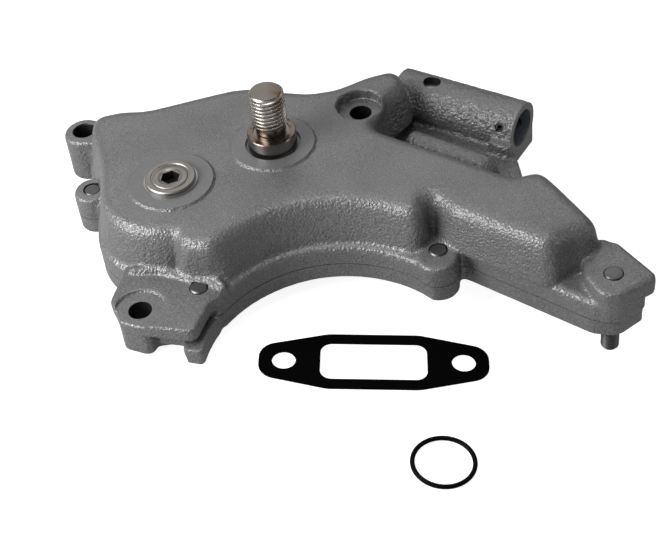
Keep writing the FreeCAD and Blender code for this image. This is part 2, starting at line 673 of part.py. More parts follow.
def gear_outline(turn):
    pitch = 2 * math.pi / TEETH
    edges = []
    for i in range(TEETH):
        at = turn + i * pitch
        low = tooth_flank(-1, at)
        high = tooth_flank(1, at)
        after = tooth_flank(-1, at + pitch)
        root_a = V(high[0].x, high[0].y, 0) * (ROOT_R / high[0].Length)
        root_b = V(after[0].x, after[0].y, 0) * (ROOT_R / after[0].Length)
        tip = V(math.cos(at), math.sin(at), 0) * TIP_R
        valley = V(math.cos(at + pitch / 2), math.sin(at + pitch / 2), 0) * ROOT_R
        edges.append(Part.Arc(low[0], low[1], low[2]).toShape())
        edges.append(Part.Arc(low[2], tip, high[2]).toShape())
        edges.append(Part.Arc(high[2], high[1], high[0]).toShape())
        edges.append(Part.LineSegment(high[0], root_a).toShape())
        edges.append(Part.Arc(root_a, valley, root_b).toShape())
        edges.append(Part.LineSegment(root_b, after[0]).toShape())
    return Part.Wire(edges)


def gear(turn, x, y, bore):
    solid = Part.Face(gear_outline(turn)).extrude(V(0, 0, GEAR_W))
    solid.translate(V(x, y, GEAR_Z0))
    return solid.cut(disc(x, y, bore, 0, DOME_Z))


def key_slot(grow):
    """Space of the drive key, half in the shaft and half in the gear."""
    z = GEAR_Z0 + (GEAR_W - KEY_L) / 2
    low = JOURNAL_R - KEY_H / 2
    return Part.makeBox(KEY_H, KEY_W + 2 * grow, KEY_L, V(low, -KEY_W / 2 - grow, z))


def drive_gear():
    toward = math.radians(IDLER_BEARING)
    slot = key_slot(0)
    slot = slot.fuse(Part.makeBox(KEY_H, KEY_W, GEAR_W, V(JOURNAL_R - KEY_H / 2, -KEY_W / 2, GEAR_Z0)))
    return gear(toward, 0, 0, JOURNAL_R).cut(slot)


def idler_gear():
    toward = math.radians(IDLER_BEARING - 180) + math.pi / TEETH
    return gear(toward, IX, IY, IDLER_PIN_R + RUN_GAP + BUSH_WALL)


def drive_shaft():
    z_collar = SPOT_Z - COLLAR_SINK + COLLAR_FLOAT
    z_top = SPOT_Z + COLLAR_H
    z_thread = z_top + NECK_L
    z_end = z_thread + THREAD_L
    ch = THREAD_CHAMFER
    profile = (
        (0, SHAFT_END_Z), (REAR_JOURNAL_R - 1, SHAFT_END_Z), (REAR_JOURNAL_R, SHAFT_END_Z + 1),
        (REAR_JOURNAL_R, GEAR_Z0), (JOURNAL_R, GEAR_Z0), (JOURNAL_R, z_collar), (COLLAR_R, z_collar),
        (COLLAR_R, z_top - 0.5), (COLLAR_R - 0.5, z_top), (NECK_R + 1.5, z_top),
        (NECK_R + 1.5, z_top - COLLAR_GROOVE), (NECK_R, z_top - COLLAR_GROOVE), (NECK_R, z_thread - ch),
        (THREAD_R, z_thread), (THREAD_R, z_end - ch), (THREAD_R - ch, z_end), (0, z_end),
    )
    return turned(0, 0, profile).cut(key_slot(0))


def idler_plug():
    z = SPOT_Z + WASHER_T
    top = z + PLUG_HEAD_H
    profile = (
        (0, SPOT_Z - PLUG_L), (PLUG_R, SPOT_Z - PLUG_L), (PLUG_R, z), (PLUG_HEAD_R, z),
        (PLUG_HEAD_R, top - 0.3), (PLUG_HEAD_R - 0.3, top), (PLUG_RING_R, top),
        (PLUG_RING_R, top - 0.4), (PLUG_RING_R - 0.8, top - 0.4), (PLUG_RING_R - 0.8, top), (0, top),
    )
    socket = hexagon(PLUG_HEX, IX, IY, top - PLUG_HEX_DEEP, top + 1)
    return turned(IX, IY, profile).cut(socket)


def relief_piston():
    """Cup with its closed end towards the inlet."""
    r = VALVE_R - RUN_GAP
    s0 = VALVE_L - PISTON_L
    s1 = VALVE_L - PISTON_REST
    cup = along_tube(s0, s1, r)
    return cup.cut(along_tube(s0 - 1, s1 - PISTON_END, r - PISTON_WALL))


def spring_ends():
    far = VALVE_L - PISTON_REST - PISTON_END
    near = PIN_S + PIN_R + SEAT_T
    return near, far


def relief_spring():
    near, far = spring_ends()
    length = far - near - SPRING_WIRE - 2 * SPRING_PLAY
    helix = Part.makeHelix(length / SPRING_TURNS, length, SPRING_R)
    half = SPRING_WIRE / 2
    corners = [(-half, -half), (half, -half), (half, half), (-half, half), (-half, -half)]
    section = Part.makePolygon([V(SPRING_R + x, 0, z) for x, z in corners])
    solid = Part.Wire(helix).makePipeShell([section], True, True)
    solid.rotate(V(0, 0, 0), V(0, 1, 0), -90)
    solid.rotate(V(0, 0, 0), V(0, 0, 1), TUBE_ANGLE)
    solid.translate(tube_point(near + half + SPRING_PLAY, 0, 0))
    return solid


def relief_spring_seat():
    near = PIN_S + PIN_R + FIT
    plate = along_tube(near, near + SEAT_T - FIT, VALVE_R - 0.1)
    return plate.fuse(along_tube(near, near + SEAT_T + SEAT_NOSE_L, SEAT_NOSE_R))


def relief_roll_pin():
    across = pin_way()
    reach = TUBE_R - PIN_BACK
    start = tube_point(PIN_S, 0, 0) - across * reach
    pin = Part.makeCylinder(PIN_R, 2 * reach, start, across)
    hollow = Part.makeCylinder(PIN_BORE_R, 2 * reach + 2, start - across, across)
    slit = Part.makeBox(SLIT, PIN_R + 1, 4 * reach, V(-SLIT / 2, 0, -reach))
    slit.Placement = FreeCAD.Placement(start, FreeCAD.Rotation(V(0, 0, 1), across)).multiply(slit.Placement)
    return pin.cut([hollow, slit])


def shaft_circlip():
    z = GEAR_Z0 + GEAR_W
    body = ring(0, 0, JOURNAL_R, JOURNAL_R + CIRCLIP_WALL, z, z + CIRCLIP_T)
    return body.cut(Part.makeBox(JOURNAL_R * 2, 5, CIRCLIP_T + 2, V(0, -2.5, z - 1)))


def dowel_pins():
    half = DOWEL_L / 2 - BUSH_GAP
    return Part.makeCompound([disc(x, y, DOWEL_R, COVER_T - half, COVER_T + half) for x, y in DOWELS])


def suction_stud():
    """Double-ended stud with a relief neck where it leaves the casting."""
    top = TIP_LUG_Z + STUD_PROUD
    low, high = STUD_NECK_Z
    profile = (
        (0, STUD_TIP_Z), (STUD_R - STUD_CHAMFER, STUD_TIP_Z), (STUD_R, STUD_TIP_Z + STUD_CHAMFER),
        (STUD_R, low), (STUD_NECK_R, low), (STUD_NECK_R, high), (STUD_R, high),
        (STUD_R, top - STUD_CROWN), (STUD_R - STUD_CROWN, top), (0, top),
    )
    return turned(ARM_TIP_X, ARM_TIP_Y, profile)


def floor_placement(x, y, turn):
    """Placement on the surface that the pump leans on: stud tip, high lug and foot."""
    a = V(ARM_TIP_X, ARM_TIP_Y, STUD_TIP_Z)
    b = V(HIGH_LUG[0] - REST_LUG[0], HIGH_LUG[1] + REST_LUG[1], 0)
    c = V(FOOT[2][0], FOOT[2][1], 0)
    normal = (b - a).cross(c - a)
    normal.normalize()
    z = a.z - (normal.x * (x - a.x) + normal.y * (y - a.y)) / normal.z
    lean = FreeCAD.Rotation(V(0, 0, 1), normal)
    return FreeCAD.Placement(V(x, y, z), lean.multiply(FreeCAD.Rotation(V(0, 0, 1), turn)))


def suction_gasket():
    a = FLANGE_PITCH / 2
    end = a + GASKET_END
    w = GASKET_W / 2
    r = GASKET_END_R
    s = GASKET_SHOULDER
    tip = r - 0.1
    outline = (
        (-end, -r, tip), (-s, -w, w), (s, -w, w), (end, -r, tip),
        (end, r, tip), (s, w, w), (-s, w, w), (-end, r, tip),
    )
    window = rectangle(WINDOW_L / 2, WINDOW_W / 2, WINDOW_R, -1, GASKET_T + 1)
    holes = [disc(side * a, 0, GASKET_HOLE_R, -1, GASKET_T + 1) for side in (-1, 1)]
    body = slab(outline, 0, GASKET_T).cut([window] + holes)
    body.Placement = floor_placement(*GASKET_AT)
    return body


def outlet_o_ring():
    """O-ring with its round section as a polygon, which keeps the facets few."""
    section = []
    for i in range(RING_SIDES):
        turn = 2 * math.pi * i / RING_SIDES
        section.append((RING_R + RING_SECTION_R * math.cos(turn), RING_SECTION_R * (1 + math.sin(turn))))
    body = turned(0, 0, section)
    body.Placement = floor_placement(*RING_AT)
    return body


def write(name, shape):
    print(name, round(shape.Volume), len(shape.Solids), shape.isValid())
    shape.exportStep("parts/" + name + ".step")


def main():
    os.makedirs("parts", exist_ok=True)
    bush_top = SPOT_Z - COLLAR_SINK - BUSH_BACK
    idler_in = IDLER_PIN_R + RUN_GAP
    write("front_housing", front_housing())
    write("rear_cover", rear_cover())
    write("drive_shaft", drive_shaft())
    write("drive_gear", drive_gear())
    write("drive_key", key_slot(0))
    write("shaft_circlip", shaft_circlip())
    write("idler_gear", idler_gear())
    write("idler_bush", ring(IX, IY, idler_in, idler_in + BUSH_WALL, GEAR_Z0, GEAR_Z0 + GEAR_W))
    write("idler_shaft", disc(IX, IY, IDLER_PIN_R, SHAFT_END_Z, CHAMBER_Z + PIN_SEAT))
    bush_foot = CHAMBER_Z + CIRCLIP_T + BUSH_GAP
    write("drive_front_bush", ring(0, 0, JOURNAL_R + RUN_GAP, JOURNAL_R + BUSH_WALL, bush_foot, bush_top))
    rear_r = REAR_JOURNAL_R + RUN_GAP
    rear_foot = SHAFT_END_Z - BUSH_GAP
    write("drive_rear_bush", ring(0, 0, rear_r, REAR_JOURNAL_R + BUSH_WALL, rear_foot, COVER_T))
    write("idler_plug", idler_plug())
    write("plug_seal_washer", ring(IX, IY, PLUG_R + 0.1, WASHER_R, SPOT_Z, SPOT_Z + WASHER_T))
    write("relief_piston", relief_piston())
    write("relief_spring", relief_spring())
    write("relief_spring_seat", relief_spring_seat())
    write("relief_roll_pin", relief_roll_pin())
    write("cover_screws", cover_screws())
    write("dowel_pins", dowel_pins())
    write("suction_stud", suction_stud())
    write("suction_gasket", suction_gasket())
    write("outlet_o_ring", outlet_o_ring())


main()
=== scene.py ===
import bpy
import bmesh
import json
import math
import numpy
from mathutils import Matrix, Vector
from mathutils import noise

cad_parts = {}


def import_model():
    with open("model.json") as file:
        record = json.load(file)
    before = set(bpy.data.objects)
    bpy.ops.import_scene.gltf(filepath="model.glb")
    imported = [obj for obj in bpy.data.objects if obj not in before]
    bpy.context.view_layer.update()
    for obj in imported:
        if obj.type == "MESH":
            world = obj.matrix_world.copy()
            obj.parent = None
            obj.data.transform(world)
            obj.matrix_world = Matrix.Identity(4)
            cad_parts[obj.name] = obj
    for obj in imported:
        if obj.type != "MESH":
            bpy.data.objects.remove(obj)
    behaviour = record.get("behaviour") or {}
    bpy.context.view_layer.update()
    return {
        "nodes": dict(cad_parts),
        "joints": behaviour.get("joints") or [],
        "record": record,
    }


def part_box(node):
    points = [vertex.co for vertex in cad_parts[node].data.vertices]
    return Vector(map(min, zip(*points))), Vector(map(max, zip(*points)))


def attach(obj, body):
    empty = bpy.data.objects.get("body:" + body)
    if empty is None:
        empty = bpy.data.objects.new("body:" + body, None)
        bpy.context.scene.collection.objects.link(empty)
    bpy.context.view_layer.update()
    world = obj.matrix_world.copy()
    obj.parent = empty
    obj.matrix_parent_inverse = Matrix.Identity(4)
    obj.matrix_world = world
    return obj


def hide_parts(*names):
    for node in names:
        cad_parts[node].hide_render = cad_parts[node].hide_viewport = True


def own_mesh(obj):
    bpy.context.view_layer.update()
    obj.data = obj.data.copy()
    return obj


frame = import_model()
NODES = frame["nodes"]
JOINTS = {joint["name"]: joint for joint in frame["joints"]}
MOUNTS = {mount["name"]: mount for mount in frame["record"]["mounts"]}
MM = 0.001
UP = (0, 0, 1)

# Camera, fitted to the photograph's round bosses and flat faces
CAMERA_AT = Vector((21.11, -535.80, 472.61)) * MM
CAMERA_PITCH = math.radians(44.17)
CAMERA_ROLL = math.radians(-7.036)
CAMERA_LENS = 80.45
SENSOR_WIDTH = 36.0

# Places and directions taken from the frame
IDLER = Vector(JOINTS["idler_spin"]["pos_m"])
IDLER_X, IDLER_Y = IDLER.x / MM, IDLER.y / MM
VALVE_WAY = Vector(JOINTS["relief_slide"]["axis"])
VALVE_SIDE = Vector((-VALVE_WAY.y, VALVE_WAY.x, 0))
STUD = Vector(MOUNTS["suction_stud"]["pos_m"])
STUD_X, STUD_Y = STUD.x / MM, STUD.y / MM
STUD_TIP_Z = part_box("suction_stud")[0].z

# Up from the surface that the pump leans on
REST_NORMAL = Vector((0.09107725, 0.01634033, 0.99570976)).normalized()
FLOOR_BELOW = 0.0004     # floor under that surface
FLOOR_HALF = 4.0

# Sizes of the castings in millimetres, as in the solids
JOINT_Z = 8.0
CHAMBER_Z = 30.0
CHAMBER_R = 28.75        # 0.15 mm outside the tips of the gears
DOME_Z = 40.0
SPOT_Z = 41.0
SPOT_R = 19.0
TUBE_Z = 16.5
MOUTH = Vector((117.6, 17.9, TUBE_Z)) * MM
VALVE_R = 9.2
VALVE_L = 56.0
INLET_R = 5.5
SPILL_S = 48.0           # spill hole and roll pin from the mouth
SPILL_R = 4.3
PIN_S = 6.5
PIN_TILT = math.radians(29.0)
PIN_HOLE_R = 2.25
BOLT_R = 5.25
HIGH_LUG_Z = 22.5        # where the chamfer of the high lug's hole starts
FAR_HEAD_R = 10.8
FAR_HEAD_Z = 34.5
LOW_RECESS_R = 11.3
LOW_RECESS_Z = 16.7
BACK_SCREW = (19.0, 38.0)
SCREWS = (               # x, y and the top of the screw's lug, or 0 for a blind hole
    (-87.8, 8.4, 19.5), (-38.9, -65.2, 18.0), (66.8, -60.6, 18.5),
    (*BACK_SCREW, 0.0), (90.0, -2.1, 0.0),
)
SCREW_R = 4.0
SCREW_HEAD_R = 7.25
SCREW_HEAD_Z = 4.2
STUD_R = 4.0
STUD_LUG_Z = 25.0
TAP_R = 4.0
TAP_Z = 17.5
PORT_R = 9.0
PORT_Z = 24.0
RING_SEAT_R = 14.1
RING_SEAT_Z = 1.5
WINDOW = (46.4, 21.4, 5.0)
WINDOW_ANGLE = math.radians(132.5)
RING_AT = (55.1, -155.2)
RING_R = 12.8
RING_SECTION_R = 1.0

# Relief spring between its seat and the bottom of the piston
SPRING_NEAR = 11.5
SPRING_FAR = 52.7
SPRING_R = 5.6
SPRING_WIRE = 1.6
SPRING_TURNS = 6
SPRING_PLAY = 0.1

# The cast skin
VOXEL = 0.7
BEAD = ((-68.0, -50.0), (-56.0, -52.0), (-44.9, -57.8), (-35.5, -62.3), (-28.6, -67.0))
BEAD_R = 1.8
BEAD_Z = 18.9
BACK_BOSS_R = 5.4        # round the end of the back screw
BACK_BOSS_Z = 16.5
NOTCH = (                # metal behind the tube's inner end: outlines with two levels
    (((60.0, 53.0), (66.0, 55.0), (67.5, 61.5), (63.0, 64.5), (60.0, 60.0)), 9, 14.5),
    (((60.0, 53.0), (66.0, 55.0), (66.0, 60.0), (61.5, 60.5), (60.0, 58.5)), 14, 18.5),
)
TROUGH_WAY = (0.653, 0.758, 0)    # across arm, trough and tube
TROUGH_X = 44            # coarse grain starts here and is full TROUGH_X_OVER further on
TROUGH_X_OVER = 6
TROUGH_TOP = 34
TROUGH_TOP_OVER = 4

# How far plugs and cutters reach past the castings
PLUG_LOW = -2
CUT_LOW = -5
CUT_HIGH = 50
LUG_CUT_HIGH = 30
EXACT = 0.00002          # metres, for faces in one plane


def new_object(name, mesh, body=None):
    piece = bpy.data.objects.new(name, mesh)
    bpy.context.scene.collection.objects.link(piece)
    if body:
        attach(piece, body)
    return piece


class Nodes:
    """Short hand for building a material's node tree."""

    def __init__(self, name):
        self.material = bpy.data.materials.new(name)
        self.material.use_nodes = True
        self.tree = self.material.node_tree
        self.tree.nodes.clear()
        self.shader = self.add("ShaderNodeBsdfPrincipled")
        output = self.add("ShaderNodeOutputMaterial")
        self.link(self.shader.outputs[0], output.inputs["Surface"])
        self.coordinate = self.add("ShaderNodeTexCoord").outputs["Object"]

    def add(self, kind, **values):
        node = self.tree.nodes.new(kind)
        for key, value in values.items():
            setattr(node, key, value)
        return node

    def link(self, source, target):
        self.tree.links.new(source, target)

    def feed(self, source, name):
        """Link a source to one of the shader's sockets."""
        self.link(source, self.shader.inputs[name])

    def set(self, **values):
        """Give the shader's own sockets their values."""
        for key, value in values.items():
            self.shader.inputs[key.replace("_", " ")].default_value = value

    def noise(self, scale, detail=4.0, rough=0.6, stretch=None):
        source = self.coordinate
        if stretch:
            mapping = self.add("ShaderNodeMapping")
            mapping.inputs["Scale"].default_value = stretch
            self.link(source, mapping.inputs["Vector"])
            source = mapping.outputs[0]
        node = self.add("ShaderNodeTexNoise")
        node.inputs["Scale"].default_value = scale
        node.inputs["Detail"].default_value = detail
        node.inputs["Roughness"].default_value = rough
        self.link(source, node.inputs["Vector"])
        return node.outputs["Fac"]

    def split(self, source):
        """The x, y and z of a vector."""
        node = self.add("ShaderNodeSeparateXYZ")
        self.link(source, node.inputs[0])
        return node.outputs

    def span(self, source, low, high, to_low, to_high):
        """A source between low and high, mapped to a new range and clamped."""
        node = self.add("ShaderNodeMapRange")
        for key, value in zip(range(1, 5), (low, high, to_low, to_high)):
            node.inputs[key].default_value = value
        self.link(source, node.inputs[0])
        return node.outputs[0]

    def ramp(self, source, *stops):
        node = self.add("ShaderNodeValToRGB")
        ramp = node.color_ramp
        while len(ramp.elements) < len(stops):
            ramp.elements.new(0.5)
        for element, (place, color) in zip(ramp.elements, stops):
            element.position = place
            element.color = (*color, 1)
        self.link(source, node.inputs[0])
        return node.outputs[0]

    def mix(self, factor, a, b):
        node = self.add("ShaderNodeMix", data_type="RGBA")
        self.plug(factor, node.inputs[0])
        self.plug(a, node.inputs[6])
        self.plug(b, node.inputs[7])
        return node.outputs[2]

    def math(self, operation, a, b=0.0):
        node = self.add("ShaderNodeMath", operation=operation)
        self.plug(a, node.inputs[0])
        self.plug(b, node.inputs[1])
        return node.outputs[0]

    def plug(self, value, socket):
        if isinstance(value, bpy.types.NodeSocket):
            self.link(value, socket)
        else:
            socket.default_value = (*value, 1) if isinstance(value, tuple) else value

    def bump(self, height, strength, distance, under=None):
        node = self.add("ShaderNodeBump")
        node.inputs["Strength"].default_value = strength
        node.inputs["Distance"].default_value = distance
        self.link(height, node.inputs["Height"])
        if under:
            self.link(under, node.inputs["Normal"])
        self.feed(node.outputs[0], "Normal")
        return node.outputs[0]

    def radius(self, x, y):
        """Distance of a point from an upright axis."""
        across = self.split(self.coordinate)
        dx = self.math("SUBTRACT", across[0], x)
        dy = self.math("SUBTRACT", across[1], y)
        total = self.math("ADD", self.math("MULTIPLY", dx, dx), self.math("MULTIPLY", dy, dy))
        return self.math("SQRT", total)

    def follow(self, pattern, colors, rough, top=0.7):
        """Colour and roughness that follow one pattern."""
        low, high = colors
        self.feed(self.ramp(pattern, (0.3, low), (top, high)), "Base Color")
        self.feed(self.span(pattern, 0.3, 0.7, *rough), "Roughness")


def place(mount):
    """A mount's place on the rear face, in millimetres."""
    at = MOUNTS[mount]["pos_m"]
    return Vector((at[0], at[1], 0)) / MM


def across(way):
    """Two directions at right angles to a way and to each other."""
    side = way.orthogonal().normalized()
    return side, way.cross(side)


def sewn(bm, rings):
    """Faces between rings that have the same number of points."""
    for low, high in zip(rings, rings[1:]):
        for i in range(len(low)):
            j = (i + 1) % len(low)
            bm.faces.new((low[i], low[j], high[j], high[i]))


def spin(bm, at, way, profile, steps=72):
    """Closed solid turned about an axis from (radius, height) points, its ends on the axis."""
    way = Vector(way).normalized()
    side, other = across(way)
    turns = [2 * math.pi * i / steps for i in range(steps)]
    rings = []
    for r, h in profile:
        centre = Vector(at) + way * h
        ring = []
        for a in turns if r else turns[:1]:
            spoke = side * math.cos(a) + other * math.sin(a)
            ring.append(bm.verts.new((centre + spoke * r) * MM))
        rings.append(ring)
    for low, high in zip(rings, rings[1:]):
        for i in range(steps):
            j = (i + 1) % steps
            picks = ((low, i), (low, j), (high, j), (high, i))
            corners = [ring[k % len(ring)] for ring, k in picks]
            bm.faces.new(list(dict.fromkeys(corners)))


def turned(bm, x, y, profile, steps=72):
    """Closed solid turned about an upright axis."""
    spin(bm, (x, y, 0), UP, profile, steps)


def rod(bm, x, y, r, z0, z1):
    turned(bm, x, y, ((0, z0), (r, z0), (r, z1), (0, z1)))


def prism(bm, outline, z0, z1):
    """Upright prism on a counter-clockwise outline of (x, y) points."""
    low = [bm.verts.new(Vector((x, y, z0)) * MM) for x, y in outline]
    high = [bm.verts.new(Vector((x, y, z1)) * MM) for x, y in outline]
    bm.faces.new(low[::-1])
    bm.faces.new(high)
    sewn(bm, (low, high))


def rounded(length, width, r, centre, turn, steps=6):
    """Outline of a rounded rectangle, turned about its centre."""
    cosine, sine = math.cos(turn), math.sin(turn)
    points = []
    for k, (sx, sy) in enumerate(((1, 1), (-1, 1), (-1, -1), (1, -1))):
        for i in range(steps + 1):
            a = math.pi / 2 * (k + i / steps)
            x = sx * (length / 2 - r) + r * math.cos(a)
            y = sy * (width / 2 - r) + r * math.sin(a)
            points.append(centre + Vector((x * cosine - y * sine, x * sine + y * cosine)))
    return [(p.x, p.y) for p in points]


def made(bm, name):
    """Loose object from a bmesh, used as a tool or as the start of a piece."""
    bmesh.ops.recalc_face_normals(bm, faces=bm.faces)
    mesh = bpy.data.meshes.new(name)
    bm.to_mesh(mesh)
    bm.free()
    return new_object(name, mesh)


def applied(piece, kind, **values):
    """Apply one modifier to a piece's mesh."""
    modifier = piece.modifiers.new(kind, kind)
    for key, value in values.items():
        setattr(modifier, key, value)
    graph = bpy.context.evaluated_depsgraph_get()
    mesh = bpy.data.meshes.new_from_object(piece.evaluated_get(graph))
    piece.modifiers.clear()
    piece.data = mesh


def combined(piece, tool, operation):
    """Cut a tool from a piece, or join or intersect them, and delete the tool."""
    applied(piece, "BOOLEAN", object=tool, operation=operation, solver="MANIFOLD",
            material_mode="TRANSFER")
    bpy.data.objects.remove(tool)


def crisp(piece, degrees=32):
    """Smooth shading with sharp edges kept."""
    piece.data.shade_smooth()
    piece.data.set_sharp_from_angle(angle=math.radians(degrees))


def softened(piece, low, high):
    """Smooth shading for a thread between two levels, in millimetres."""
    points = piece.data.vertices
    for edge in piece.data.edges:
        if all(low < points[i].co.z / MM < high for i in edge.vertices):
            edge.use_edge_sharp = False


def tube_point(s):
    """Point on the valve axis, s millimetres inwards from the mouth."""
    return MOUTH / MM - VALVE_WAY * s


def pin_way():
    """Direction of the roll pin, across the valve axis."""
    return VALVE_SIDE * math.cos(PIN_TILT) - Vector((0, 0, math.sin(PIN_TILT)))


def extended(bm, picked, offset):
    """Copy some flat faces and draw the copy out into a closed block."""
    copy = bmesh.ops.duplicate(bm, geom=picked)["geom"]
    faces = [item for item in copy if isinstance(item, bmesh.types.BMFace)]
    drawn = bmesh.ops.extrude_face_region(bm, geom=faces, use_keep_orig=True)["geom"]
    corners = [item for item in drawn if isinstance(item, bmesh.types.BMVert)]
    bmesh.ops.translate(bm, vec=offset, verts=corners)


def fill_bores(bm):
    """Plugs in every machined bore, so that the cast skin runs over them."""
    under = 0.1              # plugs end just under the faces that they lie in
    bolt = BOLT_R + 0.95
    rod(bm, 0, 0, 14.0, CHAMBER_Z + 1, SPOT_Z - under)
    rod(bm, IDLER_X, IDLER_Y, 10.2, CHAMBER_Z + 1, SPOT_Z - under)
    far, high, low = place("far_bolt_hole"), place("high_lug_hole"), place("low_bolt_hole")
    rod(bm, far.x, far.y, bolt, PLUG_LOW, FAR_HEAD_Z)
    rod(bm, far.x, far.y, FAR_HEAD_R + 1.0, FAR_HEAD_Z - 1, DOME_Z - 0.3)
    rod(bm, high.x, high.y, bolt, PLUG_LOW, HIGH_LUG_Z + 0.3)
    rod(bm, low.x, low.y, bolt, PLUG_LOW, LOW_RECESS_Z - under)
    rod(bm, STUD_X, STUD_Y, STUD_R + 1, PLUG_LOW, STUD_LUG_Z - under)
    for x, y, top in SCREWS:
        r, head, end = SCREW_R + 1, SCREW_HEAD_R + 0.95, max(top, 10) - under
        turned(bm, x, y, ((0, PLUG_LOW), (head, PLUG_LOW), (head, 3), (r, 6), (r, end), (0, end)))
    rod(bm, *BACK_SCREW, BACK_BOSS_R, 3, BACK_BOSS_Z)
    for outline, z0, z1 in NOTCH:
        prism(bm, outline, z0, z1)
    tap, port = place("flange_tapping"), place("outlet_port")
    rod(bm, tap.x, tap.y, TAP_R + 1, PLUG_LOW, TAP_Z - 0.5)
    rod(bm, port.x, port.y, RING_SEAT_R + 0.9, PLUG_LOW, RING_SEAT_Z + 1)
    rod(bm, port.x, port.y, PORT_R + 1, PLUG_LOW, JOINT_Z - 1)
    r, length = VALVE_R + 1.2, VALVE_L + 3
    spin(bm, tube_point(-2), -VALVE_WAY, ((0, 0), (r, 0), (r, length), (0, length)))
    spin(bm, tube_point(SPILL_S), UP, ((0, 0), (5.0, 0), (5.0, 11.8), (0, 11.8)))
    spin(bm, tube_point(PIN_S), pin_way(), ((0, -12.4), (2.8, -12.4), (2.8, 12.4), (0, 12.4)))


def length_of(loop):
    """Length of a closed run of vertices."""
    return sum((a.co - b.co).length for a, b in zip(loop, loop[1:] + loop[:1]))


def cover_outline():
    """The rear cover's outline at the joint, as (x, y) points in millimetres."""
    bm = bmesh.new()
    bm.from_mesh(NODES["rear_cover"].data)
    bmesh.ops.remove_doubles(bm, verts=bm.verts, dist=EXACT)
    joint = set()
    for face in bm.faces:
        level = face.calc_center_median().z
        if face.normal.z > 0.99 and abs(level - JOINT_Z * MM) < EXACT:
            joint.add(face)
    rim = {}
    for face in bm.faces:
        for loop in face.loops if face in joint else ():
            if sum(f in joint for f in loop.edge.link_faces) == 1:
                rim[loop.vert] = loop.link_loop_next.vert
    best = []
    while rim:
        start, at = rim.popitem()
        loop = [start]
        while at in rim:
            loop.append(at)
            at = rim.pop(at)
        best = max(best, loop, key=length_of)
    points = [Vector((v.co.x, v.co.y)) / MM for v in best]
    bm.free()
    return points


def grown(points, amount):
    """A counter-clockwise outline moved outwards by amount."""
    moved = []
    for i, p in enumerate(points):
        before = (p - points[i - 1]).normalized()
        after = (points[(i + 1) % len(points)] - p).normalized()
        out = Vector((before.y + after.y, -before.x - after.x))
        moved.append(p + out * (amount / max(1 + before.dot(after), 0.3)))
    return [(p.x, p.y) for p in moved]


def zone(points, z0, z1, grow):
    """Upright block on an outline grown by some millimetres."""
    bm = bmesh.new()
    prism(bm, grown(points, grow), z0, z1)
    bmesh.ops.triangulate(bm, faces=bm.faces)
    return made(bm, "zone")


def joint_groove(points):
    """Fine groove that shows where the housing meets the cover."""
    groove = zone(points, JOINT_Z - 0.2, JOINT_Z + 0.2, 0.9)
    combined(groove, zone(points, JOINT_Z - 1, JOINT_Z + 1, -0.5), "DIFFERENCE")
    return groove


def pad_bead(bm):
    """Soft bead along the back of the low pad, where the wall of the dome starts."""
    r, s = BEAD_R, BEAD_R * 0.7
    for start, end in zip(BEAD, BEAD[1:]):
        way = Vector((*end, 0)) - Vector((*start, 0))
        h = way.length
        profile = ((0, -r), (s, -s), (r, 0), (r, h), (s, h + s), (0, h + r))
        spin(bm, (*start, BEAD_Z), way, profile, 24)


def read_points(mesh, what="co"):
    """A mesh's vertex places or normals, as rows of numbers."""
    values = numpy.empty(len(mesh.vertices) * 3)
    mesh.vertices.foreach_get(what, values)
    return values.reshape(-1, 3)


def write_points(mesh, places):
    mesh.vertices.foreach_set("co", places.ravel())
    mesh.update()


def rise(values, start, over):
    """0 up to start, 1 from start + over on, and straight between; over may be negative."""
    return numpy.clip((values - start) / over, 0, 1)


def ease_wall(mesh):
    """Draw the foot of the wall back behind the pad's screw, as it stands in the photograph."""
    depth = 3.0
    places = read_points(mesh)
    x, y, z = (places / MM).T
    near = rise(numpy.hypot(x + 40, y + 64), 17, -9)
    level = rise(z, 18.6, 1.5) * rise(z, 35, -12)
    amount = near * near * (3 - 2 * near) * level * depth * MM
    places += amount[:, None] * numpy.array((-0.2, 0.98, 0))
    write_points(mesh, places)


def roughen(mesh):
    """Uneven cast surface: slow waves, and lumps, coarser on the tube and in the trough."""
    places = read_points(mesh)
    normals = read_points(mesh, "normal")
    x, z = places[:, 0] / MM, places[:, 2] / MM
    coarse = rise(places @ numpy.array(TROUGH_WAY) / MM, 38, 4)
    coarse *= rise(x, TROUGH_X, TROUGH_X_OVER) * rise(z, TROUGH_TOP, -TROUGH_TOP_OVER)
    size = 0.03 + 0.05 * rise(z, 39, -2) + 0.08 * coarse
    heights = numpy.empty(len(places))
    for i, at in enumerate(places):
        p = Vector(at)
        lumps = noise.noise(p * 420) + 0.6 * noise.noise(p * 800)
        heights[i] = lumps * size[i] + 0.14 * noise.noise(p * 45)
    places += normals * (heights * MM)[:, None]
    write_points(mesh, places)


def soften_dome(piece):
    """Wider roundings along the top of the dome, and no soft mound under the spot discs."""
    group = piece.vertex_groups.new(name="dome")
    heights = read_points(piece.data)[:, 2] / MM
    start, bands = 26, 8
    for step in range(1, bands + 1):
        low = start + step
        chosen = numpy.nonzero((heights >= low) & ((heights < low + 1) | (step == bands)))[0]
        group.add([int(i) for i in chosen], step / bands, "REPLACE")
    applied(piece, "SMOOTH", factor=0.5, iterations=70, vertex_group="dome")
    places = read_points(piece.data)
    levels = places[:, 2]
    top = (DOME_Z - 0.1) * MM
    levels[levels > top] = top + (levels[levels > top] - top) * 0.2
    write_points(piece.data, places)


